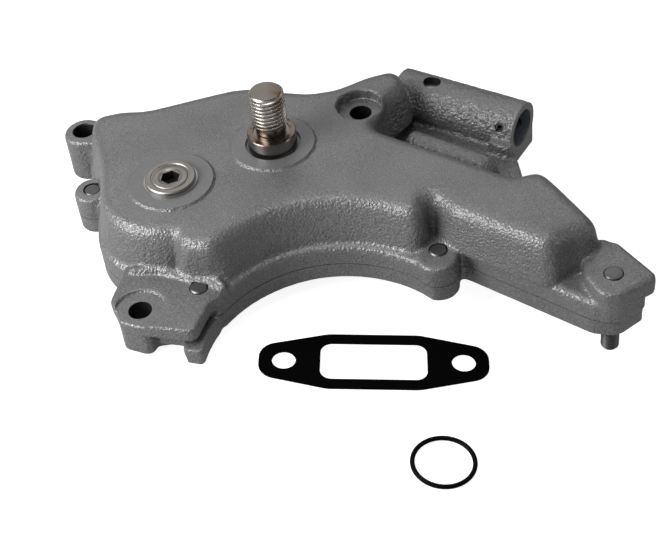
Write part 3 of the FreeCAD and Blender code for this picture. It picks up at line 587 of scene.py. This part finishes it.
def raw_casting():
    """Housing and cover in one skin, with cast roundings and a cast surface."""
    bm = bmesh.new()
    for node in ("front_housing", "rear_cover"):
        bm.from_mesh(NODES[node].data)
    pad_bead(bm)
    bm.normal_update()
    feet, front = [], []
    for face in bm.faces:
        middle = face.calc_center_median()
        if face.normal.z < -0.99 and abs(middle.z) < EXACT:
            feet.append(face)
        if face.normal.dot(VALVE_WAY) > 0.99 and abs((middle - MOUTH).dot(VALVE_WAY)) < EXACT:
            front.append(face)
    extended(bm, feet, Vector((0, 0, -2)) * MM)
    extended(bm, front, VALVE_WAY * (2 * MM))
    fill_bores(bm)
    piece = made(bm, "casting")
    applied(piece, "REMESH", mode="VOXEL", voxel_size=VOXEL * MM)
    applied(piece, "SMOOTH", factor=0.5, iterations=9)
    soften_dome(piece)
    ease_wall(piece.data)
    roughen(piece.data)
    return piece


def wobbled(bm, centre, low, high, amount):
    """Push the points between two levels unevenly in or out from an axis, as cast edges are."""
    for vert in bm.verts:
        out = Vector((vert.co.x / MM - centre[0], vert.co.y / MM - centre[1], 0))
        if low < vert.co.z / MM < high and out.length > 1:
            wave = noise.noise(vert.co * 330) + 0.5 * noise.noise(vert.co * 900)
            vert.co += out.normalized() * wave * amount * MM


def spot_discs():
    """Faced tops of the two bosses, with cast sides that run out into the dome."""
    bm = bmesh.new()
    r, z, foot = SPOT_R, DOME_Z, 37
    profile = (
        (0, foot), (r + 1.4, foot), (r + 1.4, z - 0.3), (r + 1.1, z + 0.05), (r + 0.6, z + 0.3),
        (r + 0.25, z + 0.7), (r + 0.1, SPOT_Z - 0.12), (r, SPOT_Z), (0, SPOT_Z),
    )
    for x, y in ((0, 0), (IDLER_X, IDLER_Y)):
        turned(bm, x, y, profile, 160)
        wobbled(bm, (x, y), z - 0.1, SPOT_Z - 0.2, 0.3)
    for face in bm.faces:
        face.material_index = 0 if face.calc_center_median().z / MM > SPOT_Z - 0.01 else 1
    return made(bm, "spot_discs")


def cast_cuts():
    """Counterbore of the far hole and the step round the low hole, both left as cast."""
    far, low = place("far_bolt_hole"), place("low_bolt_hole")
    bm = bmesh.new()
    r, z, floor_z = FAR_HEAD_R, DOME_Z, FAR_HEAD_Z
    profile = (
        (0, floor_z), (r - 0.4, floor_z), (r, floor_z + 0.4), (r, z - 1.6), (r + 0.2, z - 0.8),
        (r + 0.7, z - 0.3), (r + 1.5, z + 0.1), (r + 1.6, CUT_HIGH), (0, CUT_HIGH),
    )
    turned(bm, far.x, far.y, profile, 96)
    wobbled(bm, far, floor_z + 0.3, z + 0.2, 0.5)
    bowl = bmesh.new()
    r, z, top = LOW_RECESS_R, LOW_RECESS_Z, 26
    profile = (
        (0, z), (r - 0.5, z), (r - 0.1, z + 0.3), (r + 0.2, z + 0.9), (r + 0.9, z + 1.25),
        (r + 2.2, z + 1.45), (r + 2.2, top), (0, top),
    )
    turned(bowl, low.x, low.y, profile, 96)
    step = made(bowl, "step")
    block = bmesh.new()
    left, right, front = low.x - r, low.x + 4.2, low.y - 16
    prism(block, ((left, low.y), (left, front), (right, front), (right, low.y)), z, top)
    combined(step, made(block, "block"), "UNION")
    cuts = made(bm, "cast_cuts")
    combined(cuts, step, "UNION")
    return cuts


def dark_bores():
    """Bolt holes, ring gaps round the screw ends, spill hole and roll pin hole."""
    bm = bmesh.new()
    far, high, low = place("far_bolt_hole"), place("high_lug_hole"), place("low_bolt_hole")
    r, z = BOLT_R, HIGH_LUG_Z
    rod(bm, far.x, far.y, r, CUT_LOW, FAR_HEAD_Z + 1)
    turned(bm, high.x, high.y, (
        (0, CUT_LOW), (r, CUT_LOW), (r, z), (r + 1.2, z + 1.2), (r + 1.2, LUG_CUT_HIGH),
        (0, LUG_CUT_HIGH),
    ))
    rod(bm, low.x, low.y, r, CUT_LOW, 20)
    for x, y, top in SCREWS:
        start = top - 1 if top else 12
        end = top + 0.8 if top else 15
        gap = SCREW_R + (0.28 if top else 0.01)
        turned(bm, x, y, (
            (0, CUT_LOW), (SCREW_HEAD_R, CUT_LOW), (SCREW_HEAD_R, 0), (SCREW_R, SCREW_HEAD_Z),
            (SCREW_R, start), (gap, start), (gap, end), (0, end),
        ))
    r, z = STUD_R, STUD_LUG_Z - 0.8
    turned(bm, STUD_X, STUD_Y, (
        (0, CUT_LOW), (r, CUT_LOW), (r, z), (r + 0.3, z), (r + 0.3, LUG_CUT_HIGH),
        (0, LUG_CUT_HIGH),
    ))
    r = SPILL_R
    spin(bm, tube_point(SPILL_S), UP, ((0, 0), (r, 0), (r, 20), (0, 20)))
    r, reach = PIN_HOLE_R, 25
    spin(bm, tube_point(PIN_S), pin_way(), ((0, -reach), (r, -reach), (r, reach), (0, reach)), 32)
    return made(bm, "dark_bores")


def first_bores():
    """Bores that don't meet each other."""
    bm = bmesh.new()
    inner, outer, step = 11, 12.8, 39.3      # the shaft's hole and the recess of its collar
    turned(bm, 0, 0, (
        (0, 1.8), (10, 1.8), (10, JOINT_Z), (CHAMBER_R, JOINT_Z), (CHAMBER_R, CHAMBER_Z),
        (inner, CHAMBER_Z), (inner, step), (outer, step), (outer, CUT_HIGH), (0, CUT_HIGH),
    ), 128)
    tap = place("flange_tapping")
    rod(bm, tap.x, tap.y, TAP_R, CUT_LOW, TAP_Z)
    port = place("outlet_port")
    turned(bm, port.x, port.y, (
        (0, CUT_LOW), (RING_SEAT_R, CUT_LOW), (RING_SEAT_R, RING_SEAT_Z), (PORT_R, RING_SEAT_Z),
        (PORT_R, PORT_Z), (0, PORT_Z),
    ))
    return made(bm, "first_bores")


def valve_bore():
    """Bore of the relief valve and its inlet."""
    bm = bmesh.new()
    r, end = VALVE_R, VALVE_L + 6
    profile = ((0, 0), (r, 0), (r, end), (INLET_R, end), (INLET_R, end + 5), (0, end + 5))
    spin(bm, tube_point(-6), -VALVE_WAY, profile, 96)
    return made(bm, "valve_bore")


def second_bores():
    """Bores that meet the first ones, the suction window and the faced mouth of the tube."""
    bm = bmesh.new()
    foot = IDLER / MM - Vector((0, 0, IDLER.z / MM))
    spin(bm, foot, UP, (
        (0, 2), (8, 2), (8, JOINT_Z), (CHAMBER_R, JOINT_Z), (CHAMBER_R, CHAMBER_Z),
        (8, CHAMBER_Z), (8, 35), (9, 35), (9, CUT_HIGH), (0, CUT_HIGH),
    ), 128)
    tap = place("flange_tapping")
    middle = Vector(((tap.x + STUD_X) / 2, (tap.y + STUD_Y) / 2))
    length, width, r = WINDOW
    window = rounded(length + 0.2, width + 0.2, r, middle, WINDOW_ANGLE)
    prism(bm, window, CUT_LOW, JOINT_Z)
    corner, side, way = MOUTH.xy / MM, VALVE_SIDE.xy, VALVE_WAY.xy
    near, far = corner - side * 14, corner + side * 20
    block = (near, near + way * 12, far + way * 12, far)
    prism(bm, [(p.x, p.y) for p in block], CUT_LOW, 40)
    return made(bm, "second_bores")


def below_zero():
    """Everything under the flat rear face."""
    bm = bmesh.new()
    prism(bm, ((-200, -200), (250, -200), (250, 200), (-200, 200)), -20, 0)
    return made(bm, "below_zero")


def iron_pieces():
    """The two castings: one skin, bored and faced, then parted at the joint."""
    whole = raw_casting()
    cast, machined, dark = cast_iron(), machined_iron(), painted_shade_bore()
    whole.data.materials.clear()
    whole.data.materials.append(cast)
    outline = cover_outline()
    steps = (
        (spot_discs(), "UNION", (machined, cast)),
        (cast_cuts(), "DIFFERENCE", (cast,)),
        (first_bores(), "DIFFERENCE", (machined,)),
        (valve_bore(), "DIFFERENCE", (honed_bore(),)),
        (second_bores(), "DIFFERENCE", (machined,)),
        # painted shade: near-black in the bolt holes, screw gaps, spill hole and roll pin hole
        (dark_bores(), "DIFFERENCE", (dark,)),
        (below_zero(), "DIFFERENCE", (machined,)),
        (joint_groove(outline), "DIFFERENCE", (dark,)),
    )
    for tool, operation, materials in steps:
        for material in materials:
            tool.data.materials.append(material)
        combined(whole, tool, operation)
    cover = new_object("rear_cover_cast", whole.data.copy(), "pump")
    for piece, operation in ((cover, "INTERSECT"), (whole, "DIFFERENCE")):
        block = zone(outline, -1, JOINT_Z, 0.4)
        block.data.materials.append(machined)
        combined(piece, block, operation)
    housing = new_object("front_housing_cast", whole.data, "pump")
    bpy.data.objects.remove(whole)
    for piece, node in ((cover, "rear_cover"), (housing, "front_housing")):
        crisp(piece)
        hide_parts(node)


def grey(value):
    """A grey with a trace of blue."""
    return (value, value, value * 1.015)


def darker(color, share):
    return tuple(c * share for c in color)


def cast_iron():
    """Blasted casting: a grain that glints, coarser on walls and tube, with painted shade low in
    the trough.
    """
    m = Nodes("cast_iron_blasted")
    x, y, z = m.split(m.coordinate)
    arm = m.math("ADD", m.math("MULTIPLY", x, TROUGH_WAY[0]), m.math("MULTIPLY", y, TROUGH_WAY[1]))
    far = m.span(x, TROUGH_X * MM, (TROUGH_X + TROUGH_X_OVER) * MM, 0.0, 1.0)
    under = m.span(z, TROUGH_TOP * MM, (TROUGH_TOP - TROUGH_TOP_OVER) * MM, 0.0, 1.0)
    trough = m.math("MULTIPLY", m.span(arm, 0.036, 0.042, 0.0, 1.0), far)
    trough = m.math("MULTIPLY", trough, under)
    facing = m.split(m.add("ShaderNodeTexCoord").outputs["Normal"])[2]
    rough = m.math("ADD", m.math("MULTIPLY", trough, 1.3), 1.15)
    amount = m.math("MULTIPLY", m.span(facing, 0.97, 0.72, 0.36, 1.0), rough)
    patches = m.noise(28.0, 5.0, 0.6)
    fine = m.noise(900.0, 1.0, 0.45)
    wide = m.noise(700.0, 1.0, 0.45)
    lumps = m.math("ADD", fine, m.math("MULTIPLY", m.math("SUBTRACT", wide, fine), trough))
    grain = m.noise(1250.0, 4.0, 0.7)
    pits = m.noise(2300.0, 2.0, 0.6)
    base = m.ramp(patches, (0.32, grey(0.18)), (0.7, grey(0.235)))
    light = m.mix(m.span(grain, 0.55, 0.7, 0.0, 0.65), base, grey(0.46))
    worn = m.mix(m.span(pits, 0.34, 0.47, 0.75, 0.0), light, grey(0.04))
    # painted shade: near-black low in the trough, strongest towards its left end
    low = m.span(z, 0.0145, 0.007, 0.0, 0.9)
    trough_shade = m.math("MULTIPLY", trough, m.math("MULTIPLY", low, m.span(x, 0.1, 0.06, 0.1, 1.0)))
    m.feed(m.mix(trough_shade, worn, grey(0.012)), "Base Color")
    m.feed(m.span(grain, 0.3, 0.7, 0.46, 0.32), "Roughness")
    m.set(Metallic=0.42)
    coarse = m.bump(m.math("MULTIPLY", m.math("SUBTRACT", lumps, 0.5), amount), 1.0, 0.00052)
    m.bump(m.math("MULTIPLY", m.math("SUBTRACT", grain, 0.5), amount), 1.0, 0.00006, coarse)
    return m.material


def grained(name, pattern, colors, rough, relief, top=0.7, **sockets):
    """Material whose colour, roughness and relief follow one noise."""
    m = Nodes(name)
    grain = m.noise(*pattern)
    m.follow(grain, colors, rough, top)
    m.set(**sockets)
    m.bump(grain, *relief)
    return m.material


def machined_iron():
    """Faced or bored iron: the same grey with a finer grain."""
    return grained("cast_iron_machined", (1500.0, 3.0, 0.65), (grey(0.16), grey(0.22)),
                   (0.36, 0.46), (0.3, 0.0002), Metallic=0.35)


def honed_bore():
    """Honed valve bore: steel, with its bluish tint and raised brightness painted in as reflected
    light inside the bore.
    """
    return grained("valve_bore_honed", (700.0, 3.0, 0.6, (1.0, 1.0, 4.0)),
                   ((0.4, 0.44, 0.5), (0.6, 0.65, 0.74)), (0.28, 0.42), (0.2, 0.0001), Metallic=0.7)


def painted_shade_bore():
    """Near-black wall of the drilled holes: painted shade, where little light gets in."""
    return grained("drilled_hole_painted_shade", (600.0, 3.0, 0.6), (grey(0.012), grey(0.03)),
                   (0.4, 0.6), (0.3, 0.0001), Metallic=0.4)


def plain_metal(name, color, rough=0.35):
    """Machined metal with a fine grain."""
    return grained(name, (900.0, 3.0, 0.6), (darker(color, 0.85), color),
                   (rough - 0.05, rough + 0.08), (0.15, 0.00005), Metallic=1.0)


def gasket_fibre():
    """Black coated fibre sheet."""
    return grained("gasket_fibre_black", (900.0, 4.0, 0.7, (1.0, 3.0, 1.0)),
                   (grey(0.0006), grey(0.0018)), (0.65, 0.8), (0.3, 0.0001), top=0.75,
                   Specular_IOR_Level=0.03)


def ring_rubber():
    """Black moulded rubber."""
    return grained("ring_rubber_black", (700.0, 3.0), (grey(0.0006), grey(0.0018)),
                   (0.45, 0.6), (0.1, 0.00005), top=0.75, Specular_IOR_Level=0.08)


def turned_steel(name, x, y, tint=(0.62, 0.59, 0.55), rough=0.2, rings=0.08):
    """Lathe-turned steel, with fine rings about an upright axis unless rings is 0."""
    ring_step = 0.0004
    m = Nodes(name)
    wobble = m.noise(500.0, 2.0)
    turns = m.math("MULTIPLY", m.radius(x, y), 2 * math.pi / ring_step)
    turns = m.math("ADD", turns, m.math("MULTIPLY", wobble, 5.0))
    m.follow(m.noise(90.0, 3.0), (darker(tint, 0.88), tint), (rough, rough + 0.08))
    m.set(Metallic=1.0, Anisotropic=0.6)
    m.feed(m.add("ShaderNodeTangent", direction_type="RADIAL", axis="Z").outputs[0], "Tangent")
    m.bump(m.math("SINE", turns) if rings else wobble, rings or 0.05, 0.00004)
    return m


def shaft_steel():
    """Turned shaft end with a straw and brown heat tint round its neck and up one side, and painted
    shade on the collar's side and the flat end face.
    """
    m = turned_steel("shaft_turned_steel", 0.0, 0.0, rings=0)
    x, _, z = m.split(m.coordinate)
    collar = m.span(z, 0.0470, 0.0476, 0.0, 1.0)
    near_neck = m.math("MULTIPLY", collar, m.span(z, 0.0525, 0.058, 1.0, 0.0))
    side = m.math("MULTIPLY", m.span(x, 0.0005, 0.006, 0.0, 1.0), m.span(z, 0.058, 0.066, 0.0, 1.0))
    blot = m.span(m.noise(260.0, 4.0, 0.6), 0.42, 0.6, 0.0, 1.0)
    amount = m.math("MULTIPLY", m.math("MAXIMUM", near_neck, side), m.math("MAXIMUM", blot, 0.5))
    clean = m.shader.inputs["Base Color"].links[0].from_socket
    # painted shade: the collar's side is darkened
    clean = m.mix(m.span(z, 0.0479, 0.0481, 0.6, 0.0), clean, (0.1, 0.095, 0.09))
    # painted shade: the flat end face is darkened
    clean = m.mix(m.span(z, 0.0699, 0.0701, 0.0, 0.75), clean, (0.12, 0.1, 0.085))
    m.feed(m.mix(amount, clean, (0.13, 0.075, 0.038)), "Base Color")
    return m.material


def dress_nodes():
    """Materials for the CAD nodes, also for those that a piece replaces later."""
    steel = plain_metal("machined_steel", (0.42, 0.41, 0.395))
    dark = plain_metal("dark_steel", (0.17, 0.17, 0.175), 0.42)
    bronze = plain_metal("bush_bronze", (0.55, 0.36, 0.14), 0.3)
    black = plain_metal("roll_pin_black", (0.035, 0.035, 0.037), 0.45)
    aluminium = plain_metal("washer_aluminium", (0.5, 0.5, 0.5), 0.4)
    for material, nodes in (
        (steel, ("drive_gear", "idler_gear", "drive_key", "idler_shaft", "relief_piston",
                 "dowel_pins", "idler_plug", "drive_shaft", "suction_stud", "outlet_o_ring")),
        (black, ("relief_roll_pin",)),
        (dark, ("cover_screws", "shaft_circlip", "relief_spring", "relief_spring_seat")),
        (bronze, ("drive_front_bush", "drive_rear_bush", "idler_bush")),
        (aluminium, ("plug_seal_washer",)),
        (gasket_fibre(), ("suction_gasket",)),
    ):
        for node in nodes:
            NODES[node].data.materials.clear()
            NODES[node].data.materials.append(material)


def finish_piece(piece, body, node, material, degrees):
    """Give a piece its material, shading and body, in place of its CAD node."""
    if material:
        piece.data.materials.clear()
        piece.data.materials.append(material)
    crisp(piece, degrees)
    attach(piece, body)
    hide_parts(node)


def threaded(bm, x, y, rows, radius_at, steps):
    """Closed upright solid whose radius depends on height and angle, for screw threads."""
    way = Vector(UP)
    side, other = across(way)
    foot = Vector((x, y, 0))
    rings = []
    for h in rows:
        ring = []
        for i in range(steps):
            a = 2 * math.pi * i / steps
            spoke = side * math.cos(a) + other * math.sin(a)
            ring.append(bm.verts.new((foot + way * h + spoke * radius_at(h, i / steps)) * MM))
        rings.append(ring)
    sewn(bm, rings)
    for ring, end in ((rings[0][::-1], rows[0]), (rings[-1], rows[-1])):
        centre = bm.verts.new((foot + way * end) * MM)
        for i in range(steps):
            bm.faces.new((ring[i], ring[(i + 1) % steps], centre))


def thread_radius(major, pitch, start, end, neck, chamfer):
    """Radius of a 60 degree thread at a height and a part of a turn, with run-out and chamfer."""
    depth = 0.6134 * pitch
    crest, flank = 0.08, 0.78       # as shares of half a pitch
    run_out, chamfer_slope = 1.2, 0.9

    def radius(h, turn):
        phase = (h / pitch - turn) % 1.0
        away = abs(phase - 0.5) * 2
        cut = min(max((away - crest) / flank, 0.0), 1.0)
        r = major - depth * cut * cut * (3 - 2 * cut)
        r = min(r, neck + (h - start) * run_out)
        return min(r, major - chamfer + (end - h) * chamfer_slope)
    return radius


def steps_between(low, high, count):
    return [low + (high - low) * i / count for i in range(count + 1)]


def shaft_piece():
    """Drive shaft with its M16 thread, cupped collar and turned end."""
    bm = bmesh.new()
    turned(bm, 0, 0, (
        (0, 2), (7, 2), (8, 3), (8, 8.1), (9, 8.1), (9, 39.6), (11.0, 39.6), (11.2, 39.8),
        (11.2, 47.4), (10.9, 47.8), (8.5, 47.8), (8.3, 47.3), (6.9, 47.3), (6.9, 52.3), (0, 52.3),
    ), 128)
    start, end = 52.2, 70.2
    radius = thread_radius(8.0, 2.0, start, end, 6.85, 1.1)
    threaded(bm, 0, 0, steps_between(start, end, 360), radius, 128)
    piece = made(bm, "drive_shaft_turned")
    slot = bmesh.new()
    prism(slot, ((6.5, -2.5), (11.5, -2.5), (11.5, 2.5), (6.5, 2.5)), 12, 26)
    combined(piece, made(slot, "key_slot"), "DIFFERENCE")
    finish_piece(piece, "drive", "drive_shaft", shaft_steel(), 28)
    softened(piece, start + 0.3, end - 0.25)


def stud_piece():
    """Suction stud with its M8 thread below and a crowned end above."""
    bm = bmesh.new()
    tip, end = STUD_TIP_Z / MM, -1.0
    radius = thread_radius(4.0, 1.25, tip, end, 3.2, 0.9)

    def mirrored(h, turn):
        return radius(tip + end - h, turn)
    threaded(bm, STUD_X, STUD_Y, steps_between(tip, end, 300), mirrored, 96)
    turned(bm, STUD_X, STUD_Y, (
        (0, -1.5), (3.3, -1.5), (3.3, 1.0), (4.0, 1.2), (4.0, 25.1), (3.75, 25.5),
        (3.2, 25.65), (0, 25.7),
    ), 64)
    piece = made(bm, "suction_stud_threaded")
    steel = plain_metal("stud_steel", (0.2, 0.2, 0.205), 0.4)
    finish_piece(piece, "pump", "suction_stud", steel, 28)
    softened(piece, tip + 0.2, end - 0.2)


def plug_piece():
    """Blind plug: chamfered edge, turned groove and a hexagon socket."""
    bm = bmesh.new()
    turned(bm, IDLER_X, IDLER_Y, (
        (0, 36), (9, 36), (9, 41.8), (11.1, 41.8), (11.5, 42.1), (11.5, 42.9), (11.0, 43.35),
        (10.6, 43.4), (9.0, 43.4), (8.75, 43.1), (8.1, 42.95), (7.7, 43.3), (7.5, 43.4),
        (5.6, 43.4), (4.7, 42.9), (4.7, 42.8), (0, 42.8),
    ), 128)
    piece = made(bm, "idler_plug_turned")
    socket = bmesh.new()
    r, turn = 4.0 / math.cos(math.pi / 6), 0.3
    angles = [math.pi / 3 * i + turn for i in range(6)]
    hexagon = [(IDLER_X + r * math.cos(a), IDLER_Y + r * math.sin(a)) for a in angles]
    prism(socket, hexagon, 38.4, 45)
    steel = turned_steel("plug_turned_steel", IDLER.x, IDLER.y, (0.34, 0.32, 0.3), 0.34)
    piece.data.materials.append(steel.material)
    cutter = made(socket, "hex_socket")
    # painted shade: near-black inside the hexagon socket
    cutter.data.materials.append(painted_shade_bore())
    combined(piece, cutter, "DIFFERENCE")
    finish_piece(piece, "pump", "idler_plug", None, 28)


def rest_plane_point(x, y, below=0.0):
    """Point on the surface that the pump leans on."""
    tip = Vector((STUD.x, STUD.y, STUD_TIP_Z))
    z = tip.z - (REST_NORMAL.x * (x - tip.x) + REST_NORMAL.y * (y - tip.y)) / REST_NORMAL.z
    return Vector((x, y, z)) - REST_NORMAL * below


def ring_piece():
    """Round O-ring lying on the surface under the pump."""
    bm = bmesh.new()
    foot = rest_plane_point(RING_AT[0] * MM, RING_AT[1] * MM) / MM
    centre = foot + REST_NORMAL * RING_SECTION_R
    side, other = across(REST_NORMAL)
    around, section = 96, 20
    rings = []
    for i in range(around):
        a = 2 * math.pi * i / around
        spoke = side * math.cos(a) + other * math.sin(a)
        ring = []
        for k in range(section):
            b = 2 * math.pi * k / section
            reach = RING_R + RING_SECTION_R * math.cos(b)
            lift = REST_NORMAL * RING_SECTION_R * math.sin(b)
            ring.append(bm.verts.new((centre + spoke * reach + lift) * MM))
        rings.append(ring)
    sewn(bm, rings + rings[:1])
    piece = made(bm, "outlet_o_ring_round")
    finish_piece(piece, "pump", "outlet_o_ring", ring_rubber(), 80)


def spring_piece():
    """Relief spring, coiled between its seat and the bottom of the piston."""
    bm = bmesh.new()
    half = SPRING_WIRE / 2
    free = SPRING_FAR - SPRING_NEAR
    rise_all = free - SPRING_WIRE - 2 * SPRING_PLAY
    around = 36
    steps = around * SPRING_TURNS
    rings = []
    for i in range(steps + 1):
        a = 2 * math.pi * i / around
        spoke = VALVE_SIDE * math.sin(a) + Vector((0, 0, math.cos(a)))
        s = SPRING_NEAR + SPRING_PLAY + half + rise_all * i / steps
        ring = []
        for dr, ds in ((-half, -half), (half, -half), (half, half), (-half, half)):
            ring.append(bm.verts.new((tube_point(s + ds) + spoke * (SPRING_R + dr)) * MM))
        rings.append(ring)
    sewn(bm, rings)
    bm.faces.new(rings[0][::-1])
    bm.faces.new(rings[-1])
    piece = made(bm, "relief_spring_coil")
    steel = NODES["relief_spring"].data.materials[0]
    finish_piece(piece, "pump", "relief_spring", steel, 40)
    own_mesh(piece)


def floor():
    """Pale surface under the stud tip, the high lug and the foot."""
    mesh = bpy.data.meshes.new("studio_floor")
    corners = []
    for x, y in ((-1, -1), (1, -1), (1, 1), (-1, 1)):
        corners.append(tuple(rest_plane_point(x * FLOOR_HALF, y * FLOOR_HALF, FLOOR_BELOW)))
    mesh.from_pydata(corners, [], [(0, 1, 2, 3)])
    new_object("studio_floor", mesh)
    m = Nodes("floor_white")
    m.set(Base_Color=(0.55, 0.55, 0.55, 1), Roughness=0.9, Specular_IOR_Level=0.0,
          Emission_Color=(1, 0.995, 1, 1))
    path = m.add("ShaderNodeLightPath").outputs
    seen = m.math("MAXIMUM", path["Is Camera Ray"], path["Is Transmission Ray"])
    glossy = m.math("MULTIPLY", path["Is Glossy Ray"], 0.1)
    m.feed(m.math("ADD", m.math("MULTIPLY", seen, 0.9), glossy), "Emission Strength")
    mesh.materials.append(m.material)


def world():
    """White to the camera, dimmer in reflections, and a soft grey fill for the rest."""
    diffuse, reflected = 0.1, 0.13
    studio = bpy.data.worlds.new("studio_world")
    bpy.context.scene.world = studio
    studio.use_nodes = True
    tree = studio.node_tree
    background = tree.nodes["Background"]
    path = tree.nodes.new("ShaderNodeLightPath")
    glossy = tree.nodes.new("ShaderNodeMapRange")
    glossy.inputs[3].default_value = diffuse
    glossy.inputs[4].default_value = reflected
    tree.links.new(path.outputs["Is Glossy Ray"], glossy.inputs[0])
    seen = tree.nodes.new("ShaderNodeMath")
    seen.operation = "MAXIMUM"
    tree.links.new(path.outputs["Is Camera Ray"], seen.inputs[0])
    tree.links.new(glossy.outputs[0], seen.inputs[1])
    tree.links.new(seen.outputs[0], background.inputs["Strength"])
    background.inputs["Color"].default_value = (1, 1, 1, 1)


def area_light(name, at, size, power):
    """Lamp that faces the middle of the pump."""
    light = bpy.data.lights.new(name, "AREA")
    light.shape = "RECTANGLE"
    light.size, light.size_y = size
    light.energy = power
    lamp = new_object(name, light)
    lamp.location = at
    lamp.rotation_mode = "QUATERNION"
    toward = Vector((0.02, -0.02, 0.02)) - Vector(at)
    lamp.rotation_quaternion = toward.to_track_quat("-Z", "Y")


def lights():
    area_light("back_box", (0.05, 0.8, 0.8), (1.5, 0.8), 3.0)
    area_light("top_box", (0.0, -0.05, 0.95), (0.4, 0.3), 1.5)
    area_light("left_key", (-0.66, -0.27, 0.48), (0.5, 0.5), 8.5)
    area_light("right_strip", (0.65, -0.2, 0.25), (0.1, 0.4), 0.4)


def camera():
    """The photograph's camera."""
    lens = bpy.data.cameras.new("photo_camera")
    lens.lens = CAMERA_LENS
    lens.sensor_width = SENSOR_WIDTH
    lens.clip_start = 0.01
    lens.clip_end = 20.0
    piece = new_object("photo_camera", lens)
    forward = Vector((0, math.cos(CAMERA_PITCH), -math.sin(CAMERA_PITCH)))
    level = Vector((1, 0, 0))
    upright = level.cross(forward)
    cosine, sine = math.cos(CAMERA_ROLL), math.sin(CAMERA_ROLL)
    right = level * cosine + upright * sine
    up = upright * cosine - level * sine
    turn = Matrix((right, up, -forward)).transposed().to_4x4()
    piece.matrix_world = Matrix.Translation(CAMERA_AT) @ turn
    bpy.context.scene.camera = piece


dress_nodes()
iron_pieces()
shaft_piece()
stud_piece()
plug_piece()
ring_piece()
spring_piece()
floor()
world()
lights()
camera()
bpy.context.scene.view_settings.view_transform = "Standard"
